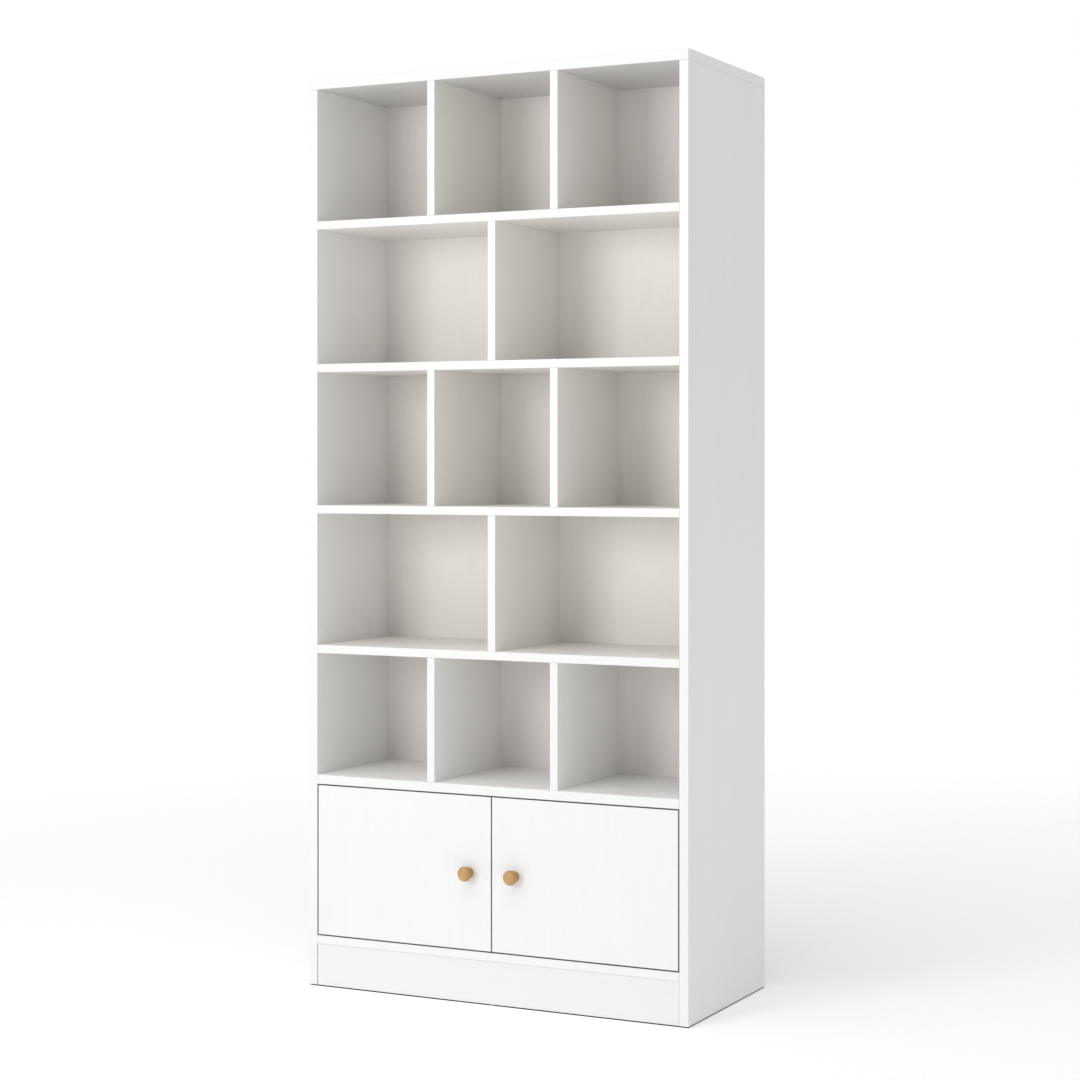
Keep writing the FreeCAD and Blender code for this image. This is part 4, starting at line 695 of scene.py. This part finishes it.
def seats_in(name, flat=False):
    """Every seat in a node."""
    return [seat_of(solid, flat) for solid in solids_of(name)]


# %% [markdown]
# ## A pattern of fasteners
#
# Geometry Nodes set out what repeats. The tree below gets a mesh that is nothing but marked
# points, one at the top of each fastener, with the way that it faces as an attribute. It
# makes one fastener, puts a copy on every point, turns each by a random angle, as a
# screwdriver would leave it, and realizes the copies into one mesh.
#
# The fastener itself is a rule and not a drawing. A grid of points has an angle in X and a
# share from 0 to 1 in Y; two formulas turn those into a radius and a height, and the sheet
# rolls up into a turned piece. The head is a squared-off dome. The shank adds a thread: a
# ridge whose height follows the angle as well as the share, so that it climbs.

# %% Pattern trees
HEAD_ROWS = 9
HIDDEN_ROW = 0.5  # rows nearer to an end than this collapse into the pole
POINT_SHARE = 0.14  # of a shank's length
CUTTER_WIDTH, CUTTER_FLARE = 0.75, 0.35
HEAD_SIZES = ["Head width", "Head height", "Roundness"]
SHANK_SIZES = ["Shank width", "Length", "Pitch", "Thread depth"]


class Pattern(Graph):
    """A Geometry Nodes tree that turns marks into pieces."""

    def __init__(self, name, sizes):
        tree = bpy.data.node_groups.new(name, "GeometryNodeTree")
        given = {"Marks": "Geometry", **dict.fromkeys(sizes, "Float"), "Seed": "Int", "Finish": "Material"}
        for label, kind in given.items():
            tree.interface.new_socket(label, in_out="INPUT", socket_type=f"NodeSocket{kind}")
        tree.interface.new_socket("Pieces", in_out="OUTPUT", socket_type="NodeSocketGeometry")
        super().__init__(tree)
        start = tree.nodes.new("NodeGroupInput")
        self.given = {socket.name: Wire(self, socket) for socket in start.outputs if socket.name}

    def turned(self, around, rows, shape):
        """Roll a grid into a closed piece. shape gives radius and height from share and angle."""
        grid = self.node("GeometryNodeMeshGrid", inputs={
            "Size X": 2 * math.pi, "Size Y": 1.0, "Vertices X": around + 1, "Vertices Y": rows + 1})
        angle, share, _ = self.parts(self.node("GeometryNodeInputPosition"))
        radius, height = shape(share + 0.5, angle)
        rolled = self.node("GeometryNodeSetPosition", inputs={"Geometry": grid, "Position": self.joined(
            radius * self.math("COSINE", angle), radius * self.math("SINE", angle), height)})
        return self.node("GeometryNodeMergeByDistance", inputs={"Geometry": rolled, "Distance": SAME_POINT})

    def head(self, around):
        """A dome from the middle of its underside to its top, which is at height 0."""
        wide, high, roundness = (self.given[name] for name in HEAD_SIZES)

        def shape(share, angle):
            turn = math.pi / 2 * self.ramp(share, 1 / HEAD_ROWS, 1.0, "LINEAR")
            open_row = share > HIDDEN_ROW / HEAD_ROWS
            radius = 0.5 * wide * open_row * self.most(self.math("COSINE", turn), 0.0) ** roundness
            return radius, high * (self.most(self.math("SINE", turn), 0.0) ** roundness - 1)

        return self.turned(around, HEAD_ROWS, shape)

    def shank(self, around, rows):
        """A threaded rod from its point, at the bottom, up into the head."""
        wide, long, pitch, thread = (self.given[name] for name in SHANK_SIZES)
        high = self.given["Head height"]

        def shape(share, angle):
            height = (share - 1) * (long - high) - 0.5 * high
            turn = self.math("FRACT", height / pitch + 2 - angle / (2 * math.pi))
            ridge = 1 - 2 * abs(turn - 0.5)
            point = self.ramp(share, 0.0, POINT_SHARE) * (share > HIDDEN_ROW / rows)
            closed = 1 - (share > 1 - HIDDEN_ROW / rows)
            return (0.5 * wide - thread * (1 - ridge)) * point * closed, height

        return self.turned(around, rows, shape)

    def bar(self, long, wide, deep):
        """A cutter that narrows downwards, for a recess in the top of a head."""
        block = self.node("GeometryNodeMeshCube", inputs={"Size": self.joined(long, wide, 2 * deep)})
        x, y, z = self.parts(self.node("GeometryNodeInputPosition"))
        narrow = CUTTER_WIDTH + CUTTER_FLARE * z / deep
        return self.node("GeometryNodeSetPosition", inputs={
            "Geometry": block, "Position": self.joined(x * narrow, y * narrow, z)})

    def cut(self, head, *cutters):
        """Take the cutters away from a head."""
        return self.node("GeometryNodeMeshBoolean", {"operation": "DIFFERENCE", "solver": "EXACT"},
                         {"Mesh 1": head, "Mesh 2": list(cutters), "Self Intersection": True})

    def place_on_seats(self, *pieces):
        """Join the pieces into one, put it on every seat and hand the result over."""
        one = self.node("GeometryNodeJoinGeometry", inputs={"Geometry": list(pieces)})
        facing = self.node("GeometryNodeInputNamedAttribute", {"data_type": "FLOAT_VECTOR"},
                           {"Name": "facing"})
        upright = self.node("FunctionNodeAlignRotationToVector", {"axis": "Z"}, {"Vector": facing})
        angle = self.node("FunctionNodeRandomValue", {"data_type": "FLOAT"},
                          {2: 0.0, 3: 2 * math.pi, "Seed": self.given["Seed"]}, out=1)
        spin = self.node("FunctionNodeEulerToRotation", inputs={"Euler": self.joined(z=angle)})
        turned = self.node("FunctionNodeRotateRotation", {"rotation_space": "LOCAL"},
                           {"Rotation": upright, "Rotate By": spin})
        copies = self.node("GeometryNodeInstanceOnPoints", inputs={
            "Points": self.given["Marks"], "Instance": one, "Rotation": turned})
        return self.hand_over(copies)

    def hand_over(self, pieces):
        """Make the copies real, give them their finish and end the tree."""
        real = self.node("GeometryNodeRealizeInstances", inputs={"Geometry": pieces})
        self.end("NodeGroupOutput", self.node("GeometryNodeSetMaterial", inputs={
            "Geometry": real, "Material": self.given["Finish"]}))
        return self.tree


# %% Four kinds of fastener
CROSS_LONG, CROSS_WIDE, CROSS_DEEP = 0.62, 0.15, 0.6  # over the width and height of the head
KEY_DEEP = 1.4


def cap_tree():
    """A pressed-in cap: a low dome."""
    pattern = Pattern("cover_cap_pattern", HEAD_SIZES)
    return pattern.place_on_seats(pattern.head(around=32))


def nail_tree():
    """A flat head on a plain pointed shank; a glide has the same shape with a thick head."""
    pattern = Pattern("nail_pattern", HEAD_SIZES + SHANK_SIZES)
    return pattern.place_on_seats(pattern.head(around=24), pattern.shank(around=10, rows=8))


def cross_screw_tree():
    """A domed head with a cross recess on a threaded shank."""
    pattern = Pattern("cross_screw_pattern", HEAD_SIZES + SHANK_SIZES)
    wide, high = pattern.given["Head width"], pattern.given["Head height"]
    bars = [pattern.bar(long * wide, narrow * wide, CROSS_DEEP * high)
            for long, narrow in ((CROSS_LONG, CROSS_WIDE), (CROSS_WIDE, CROSS_LONG))]
    return pattern.place_on_seats(pattern.cut(pattern.head(around=32), *bars),
                                  pattern.shank(around=16, rows=60))


def socket_screw_tree():
    """A thick flat head with a six-sided socket on a coarse shank."""
    pattern = Pattern("socket_screw_pattern", HEAD_SIZES + SHANK_SIZES + ["Key width"])
    key = pattern.node("GeometryNodeMeshCylinder", inputs={
        "Vertices": 6, "Radius": pattern.given["Key width"] / math.sqrt(3),
        "Depth": KEY_DEEP * pattern.given["Head height"]})
    return pattern.place_on_seats(pattern.cut(pattern.head(around=24), key),
                                  pattern.shank(around=14, rows=60))


# %% [markdown]
# ## From modifier to mesh
#
# A modifier is a recipe; the finished piece has to be a plain mesh. We set the modifier's
# inputs by each socket's identifier, ask Blender for the evaluated result, copy that into a
# mesh of its own and take the modifier away again. One such mesh is made for each body that
# moves, so that the screws of a door swing with it.


# %% Set out a pattern
def marks_from(points, edges, name, kind, field, values):
    """A mesh of bare points and edges with one named value at each point."""
    marks = bpy.data.meshes.new("marks")
    marks.from_pydata(points, edges, [])
    marks.attributes.new(name, kind, "POINT").data.foreach_set(field, values)
    return marks


def marked(seats):
    """Points that know which way they face."""
    return marks_from([seat["top"] for seat in seats], [], "facing", "FLOAT_VECTOR", "vector",
                      [number for seat in seats for number in seat["facing"]])


def set_out(name, slot, nodes, tree, marks, finish, seed, body="carcass", **sizes):
    """Run a pattern over its marks into a plain mesh, on a body and in place of some nodes."""
    piece = in_scene(name, marks)
    modifier = piece.modifiers.new("pattern", "NODES")
    modifier.node_group = tree
    values = {key.replace("_", " ").capitalize(): value for key, value in sizes.items()}
    values.update({"Seed": seed, "Finish": finish.material})
    for socket in tree.interface.items_tree:
        if socket.name in values:
            modifier[socket.identifier] = values[socket.name]
    evaluated = piece.evaluated_get(bpy.context.evaluated_depsgraph_get())
    finished = bpy.data.meshes.new_from_object(evaluated)
    piece.modifiers.clear()
    piece.data = finished
    finished.name = name
    print(f"{name}: {len(marks.vertices)} marks, {len(finished.polygons)} faces")
    bpy.data.meshes.remove(marks)
    smooth(piece)
    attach(piece, body)
    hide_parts(*nodes)


# %% [markdown]
# ## Caps and nails
#
# Caps cover the cams and screw heads, and nails hold the back in its grooves. Each takes its
# width and length from its seat, so it fills just the room that the frame keeps for it.

# %% Caps and nails
PAN_DOME, PLATE_DOME, FLAT_DOME = 0.55, 0.35, 0.16  # roundness: smaller is more like a plain disc

caps = seats_in("cover_caps", flat=True)
set_out("moulded_cover_caps", "white_plastic", ["cover_caps"], cap_tree(), marked(caps),
        cap_plastic, 5, head_width=caps[0]["wide"], head_height=caps[0]["long"], roundness=PLATE_DOME)

NAIL_HEAD, NAIL_SHANK = 0.6 * MM, 1.6 * MM
NO_THREAD = {"pitch": 1 * MM, "thread_depth": 0.0}
plain_nail = nail_tree()
nails = seats_in("back_nails")
set_out("wire_nails", "zinc_plated_steel", ["back_nails"], plain_nail, marked(nails), zinc, 6,
        head_width=nails[0]["wide"], head_height=NAIL_HEAD, roundness=FLAT_DOME,
        shank_width=NAIL_SHANK, length=nails[0]["long"], **NO_THREAD)

# %% [markdown]
# ## Glides
#
# The glides are nails with a thick plastic head. Their solids are as long as they are wide,
# so the rule for the facing has nothing to go by; but a glide can only face the floor.

# %% Glides
GLIDE_WIDTH, GLIDE_SPIKE = 14 * MM, 1.8 * MM
DOWN = Vector((0, 0, -1))
glides = []
for solid in solids_of("floor_glides"):
    low, high = span(solid)
    glides.append({"top": Vector(((low.x + high.x) / 2, (low.y + high.y) / 2, 0.0)), "facing": DOWN})
set_out("nail_in_glides", "glide_plastic", ["floor_glides"], plain_nail, marked(glides),
        glide_plastic, 7, head_width=GLIDE_WIDTH, head_height=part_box("kick_board")[0].z,
        roundness=PLATE_DOME, shank_width=GLIDE_SPIKE, length=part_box("floor_glides")[1].z, **NO_THREAD)

# %% [markdown]
# ## Screws
#
# Small screws have a domed head with a cross, the long ones of the panels a flat head with a
# six-sided socket. A Mesh Boolean cuts the recess once, before the screw is copied.

# %% Screws
cross_screw = cross_screw_tree()
HEAD_SHARE, SHANK_SHARE = 0.28, 0.5  # height of a head and width of a shank, over the head's width
SCREW_PITCH, SCREW_THREAD = 1.6 * MM, 0.5 * MM


def pan_screws(name, body, finish, seed, node):
    """Cross-head screws in place of the slotted ones of a node."""
    seats = seats_in(node)
    wide = seats[0]["wide"]
    set_out(name, "zinc_plated_steel", [node], cross_screw, marked(seats), finish, seed, body,
            head_width=wide, head_height=HEAD_SHARE * wide, roundness=PAN_DOME,
            shank_width=SHANK_SHARE * wide, length=seats[0]["long"], pitch=SCREW_PITCH,
            thread_depth=SCREW_THREAD)


pan_screws("hinge_plate_pan_screws", "carcass", nickel, 11, "hinge_plate_screws")
pan_screws("bracket_pan_screws", "carcass", zinc, 12, "wall_bracket_screws")
for side in ("left", "right"):
    pan_screws(f"{side}_cup_pan_screws", f"{side}_door", nickel, 13, f"{side}_hinge_cup_screws")
    pan_screws(f"{side}_knob_pan_screw", f"{side}_door", zinc, 14, f"{side}_knob_screw")

panel = seats_in("panel_screws")
set_out("socket_panel_screws", "zinc_plated_steel", ["panel_screws"], socket_screw_tree(),
        marked(panel), zinc, 15, head_width=panel[0]["wide"], head_height=3.5 * MM, roundness=FLAT_DOME,
        shank_width=6.8 * MM, length=panel[0]["long"], pitch=3.0 * MM, thread_depth=1.0 * MM,
        key_width=4 * MM)

# %% [markdown]
# ## Dowels
#
# A real dowel is fluted, so that glue and air can get past it. That is one more rule for the
# same tree: the radius dips twenty times on the way round, and both ends taper.

# %% Fluted dowels
FLUTES, DOWEL_ROWS = 20, 6
FLUTE_DEPTH = 0.22 * MM
TAPER_SHARE, END_WIDTH = 0.05, 0.82  # of the length and of the width
DOWEL_HEART = Vector((20, 0, -30)) * MM


def dowel_tree():
    """A fluted peg with tapered ends, hanging down from its seat."""
    pattern = Pattern("dowel_pattern", ["Width", "Length"])
    wide, long = pattern.given["Width"], pattern.given["Length"]

    def shape(share, angle):
        row = share * DOWEL_ROWS
        flute = FLUTE_DEPTH * (0.5 + 0.5 * pattern.math("COSINE", angle * FLUTES))
        end = pattern.least(row, DOWEL_ROWS - row)
        level = (pattern.ramp(row, 1.0, 2.0, "LINEAR") * TAPER_SHARE
                 + pattern.ramp(row, 2.0, 4.0, "LINEAR") * (1 - 2 * TAPER_SHARE)
                 + pattern.ramp(row, 4.0, 5.0, "LINEAR") * TAPER_SHARE)
        taper = END_WIDTH + (1 - END_WIDTH) * pattern.ramp(end, 1.0, 2.0, "LINEAR")
        return (0.5 * wide - flute) * taper * (end > HIDDEN_ROW), (level - 1) * long

    return pattern.place_on_seats(pattern.turned(2 * FLUTES, DOWEL_ROWS, shape))


raw_beech = beech("dowel_beech", DOWEL_HEART, along=ALONG_X, flecks=0.35)
dowels = seats_in("wood_dowels")
set_out("fluted_dowels", "dowel_wood", ["wood_dowels"], dowel_tree(), marked(dowels), raw_beech,
        16, width=dowels[0]["wide"], length=dowels[0]["long"])

# %% [markdown]
# ## Bent hinge arms
#
# The arm of a concealed hinge is a strip of steel, rolled into an eye round the pin and bent
# so that it reaches over the edge of the open door. A bent strip is a shape that follows a
# path: we draw the corners of its centre line, let Fillet Curve round each one as the press
# does, and carry a small rectangle along. The normals have to point level, not up, so that
# the strip stays on edge. The eye is the same rectangle carried round a circle.

# %% Arm pattern
def arm_tree():
    """A strip along each route and an eye on each point that is marked for one."""
    pattern = Pattern("hinge_arm_pattern", [
        "Thickness", "Strip width", "Bend radius", "Edge radius", "Eye width", "Eye wall"])
    given = pattern.given

    def rounded(corners, count, radius):
        return pattern.node("GeometryNodeFilletCurve", {"mode": "POLY"}, {
            "Curve": corners, "Count": count, "Radius": given[radius], "Limit Radius": True})

    def strip(path, thick):
        outline = pattern.node("GeometryNodeCurvePrimitiveQuadrilateral", inputs={
            "Width": thick, "Height": given["Strip width"]})
        level = pattern.node("GeometryNodeSetCurveNormal", {"mode": "Z_UP"}, {"Curve": path})
        return pattern.node("GeometryNodeCurveToMesh", inputs={
            "Curve": level, "Profile Curve": rounded(outline, 2, "Edge radius"), "Fill Caps": True})

    route = pattern.node("GeometryNodeMeshToCurve", inputs={"Mesh": given["Marks"]})
    ring = pattern.node("GeometryNodeCurvePrimitiveCircle", inputs={
        "Resolution": 32, "Radius": 0.5 * (given["Eye width"] - given["Eye wall"])})
    chosen = pattern.node("GeometryNodeInputNamedAttribute", {"data_type": "BOOLEAN"}, {"Name": "eye"})
    eyes = pattern.node("GeometryNodeInstanceOnPoints", inputs={
        "Points": given["Marks"], "Selection": chosen, "Instance": strip(ring, given["Eye wall"])})
    strips = strip(rounded(route, 6, "Bend radius"), given["Thickness"])
    return pattern.hand_over(pattern.node("GeometryNodeJoinGeometry", inputs={"Geometry": [strips, eyes]}))


# %% Bend the arms
PIN = Vector((20, 8)) * MM  # across from the side panel and deep from the front
CORNERS = [Vector(corner) * MM for corner in (
    (37.5, 17.4), (37.5, 26.0), (33.5, 30.2), (12.5, 30.2), (7.0, 38.0), (7.0, 79.0))]
EYE_WIDTH, EYE_WALL = 4.4 * MM, 0.67 * MM


def arm_routes(places):
    """A mesh with an eye point and a route of edges for each arm."""
    first_run = (CORNERS[0] - PIN).normalized()
    outline = [PIN, PIN + first_run * (EYE_WIDTH - EYE_WALL) / 2] + CORNERS
    points, edges = [], []
    for wall, way, height in places:
        start = len(points)
        points += [(wall + way * across, front_plane + deep, height) for across, deep in outline]
        edges += [(start + n, start + n + 1) for n in range(1, len(outline) - 1)]
    is_eye = [n % len(outline) == 0 for n in range(len(points))]
    return marks_from(points, edges, "eye", "BOOLEAN", "value", is_eye)


front_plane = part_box("kick_board")[0].y
inner_walls = {"left": (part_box("side_panel_left")[1].x, 1), "right": (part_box("side_panel_right")[0].x, -1)}
arm_nodes = [name for name in hinge_nodes if name.endswith("_arm")]
arm_places = []
for name in arm_nodes:
    low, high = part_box(name)
    arm_places.append((*inner_walls[name.split("_")[0]], (low.z + high.z) / 2))
set_out("bent_hinge_arms", "nickel_plated_steel", arm_nodes, arm_tree(), arm_routes(arm_places),
        nickel, 0, thickness=2 * MM, strip_width=high.z - low.z, bend_radius=2.5 * MM,
        edge_radius=0.3 * MM, eye_width=EYE_WIDTH, eye_wall=EYE_WALL)

# %% [markdown]
# ## Floor and light
#
# White furniture on white needs the lamp to do the drawing. A broad soft lamp stands high on
# the left in front: it leaves the right side a shade greyer than the front and lays soft
# shade from every divider and shelf on the back. The room around it is an even, faintly cool
# white. A second, very soft light from straight above lifts the floor to white without
# touching the upright faces.
#
# Far away the lamp no longer reaches the floor, and a grey horizon would show. So the paint glows a little,
# more with the distance, and not at all under the plinth: there the floor is painted dark as painted shade,
# and the narrow gap that the glides leave is a clean line.

# %% Floor
FLOOR_REACH, FLOOR_STEPS = 30.0, 96
GLOW_NEAR, GLOW_FAR = 0.20, 0.30
GLOW_GROWS = (1.2, 4.5)  # between these distances
FLOOR_WHITE, FLOOR_PATCH, FLOOR_SHADED = tone(0.88), tone(0.90), tone(0.12)

disc = bmesh.new()
bmesh.ops.create_circle(disc, cap_ends=True, segments=FLOOR_STEPS, radius=FLOOR_REACH)
floor = as_object("studio_floor", disc)
floor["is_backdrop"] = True
paint = Finish("floor_white", roughness=0.8, emission_strength=GLOW_FAR)
patches = paint.noise(paint.place, 14.0, 3.0)
across, away, up = paint.parts(paint.place)
inside = paint.least(cad_high.x - abs(across), away - front_plane, cad_high.y - away)
under = paint.ramp(inside, 0.0, 1 * MM)
distance = paint.node("ShaderNodeVectorMath", {"operation": "LENGTH"}, {0: paint.place}, out="Value")
glow = paint.blend(paint.ramp(distance, *GLOW_GROWS), tone(GLOW_NEAR / GLOW_FAR), tone(1.0))
patched = paint.blend(patches, FLOOR_WHITE, FLOOR_PATCH)
# Under the plinth the floor is painted dark: painted shade.
paint.drive(base_color=paint.blend(under, patched, FLOOR_SHADED),
            emission_color=paint.blend(under, glow, tone(0.0)))
floor.data.materials.append(paint.material)

# %% Light
scene = bpy.context.scene
scene.view_settings.view_transform = "Standard"

ROOM_LIGHT, ROOM_COLOUR = 0.485, (0.975, 0.99, 1.0, 1.0)
KEY_PLACE, KEY_TARGET = (-1.2, -3.75, 1.6), (0, 0, 0.9)
KEY_SIZE, KEY_POWER = 1.2, 39.0
ABOVE_PLACE, ABOVE_STRENGTH = (-0.05, -0.3, 1.0), 1.10
ABOVE_SOFTNESS = 60  # degrees across

world = bpy.data.worlds.new("white_room")
scene.world = world
world.use_nodes = True
world.node_tree.nodes.clear()
room = Graph(world.node_tree)
seen = room.node("ShaderNodeLightPath", out="Is Camera Ray")
shine = room.node("ShaderNodeBackground", inputs={"Color": ROOM_COLOUR, "Strength": ROOM_LIGHT})
backdrop = room.node("ShaderNodeBackground", inputs={"Color": (1, 1, 1, 1), "Strength": 1.0})
room.end("ShaderNodeOutputWorld", room.node("ShaderNodeMixShader", inputs={0: seen, 1: shine, 2: backdrop}))


def add_lamp(name, kind, place, target, **values):
    """A lamp that looks at a point."""
    data = bpy.data.lights.new(name, kind)
    for key, value in values.items():
        setattr(data, key, value)
    lamp = in_scene(name, data)
    lamp.location = place
    lamp.rotation_euler = (Vector(target) - Vector(place)).to_track_quat("-Z", "Y").to_euler()


add_lamp("key_lamp", "AREA", KEY_PLACE, KEY_TARGET, size=KEY_SIZE, energy=KEY_POWER)
add_lamp("light_from_above", "SUN", ABOVE_PLACE, (0, 0, 0), energy=ABOVE_STRENGTH,
         angle=math.radians(ABOVE_SOFTNESS))

# %% [markdown]
# ## Camera
#
# A level camera keeps upright edges upright. It stands to the right, a little above the middle
# of the bookcase, and a small shift lowers the frame in place of a tilt.

# %% Camera
VIEW_TURN = 26.64  # degrees to the right of straight in front
LENS = 79.6  # millimetres, on a sensor 36 wide
FRAME_SHIFT = -0.0721
CAMERA_ACROSS, CAMERA_AWAY, CAMERA_HIGH = 2.084, 3.9515, 1.0165  # away from the front
camera = in_scene("camera", bpy.data.cameras.new("camera"))
camera.data.lens = LENS
camera.data.shift_y = FRAME_SHIFT
camera.location = (CAMERA_ACROSS, front_plane - CAMERA_AWAY, CAMERA_HIGH)
camera.rotation_euler = (math.radians(90), 0, math.radians(VIEW_TURN))
scene.camera = camera

# %% [markdown]
# ## Measure and finish
#
# Dressing the frame must not change its size, so we measure the box of the whole scene once more.

# %% Measure and finish
low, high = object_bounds()
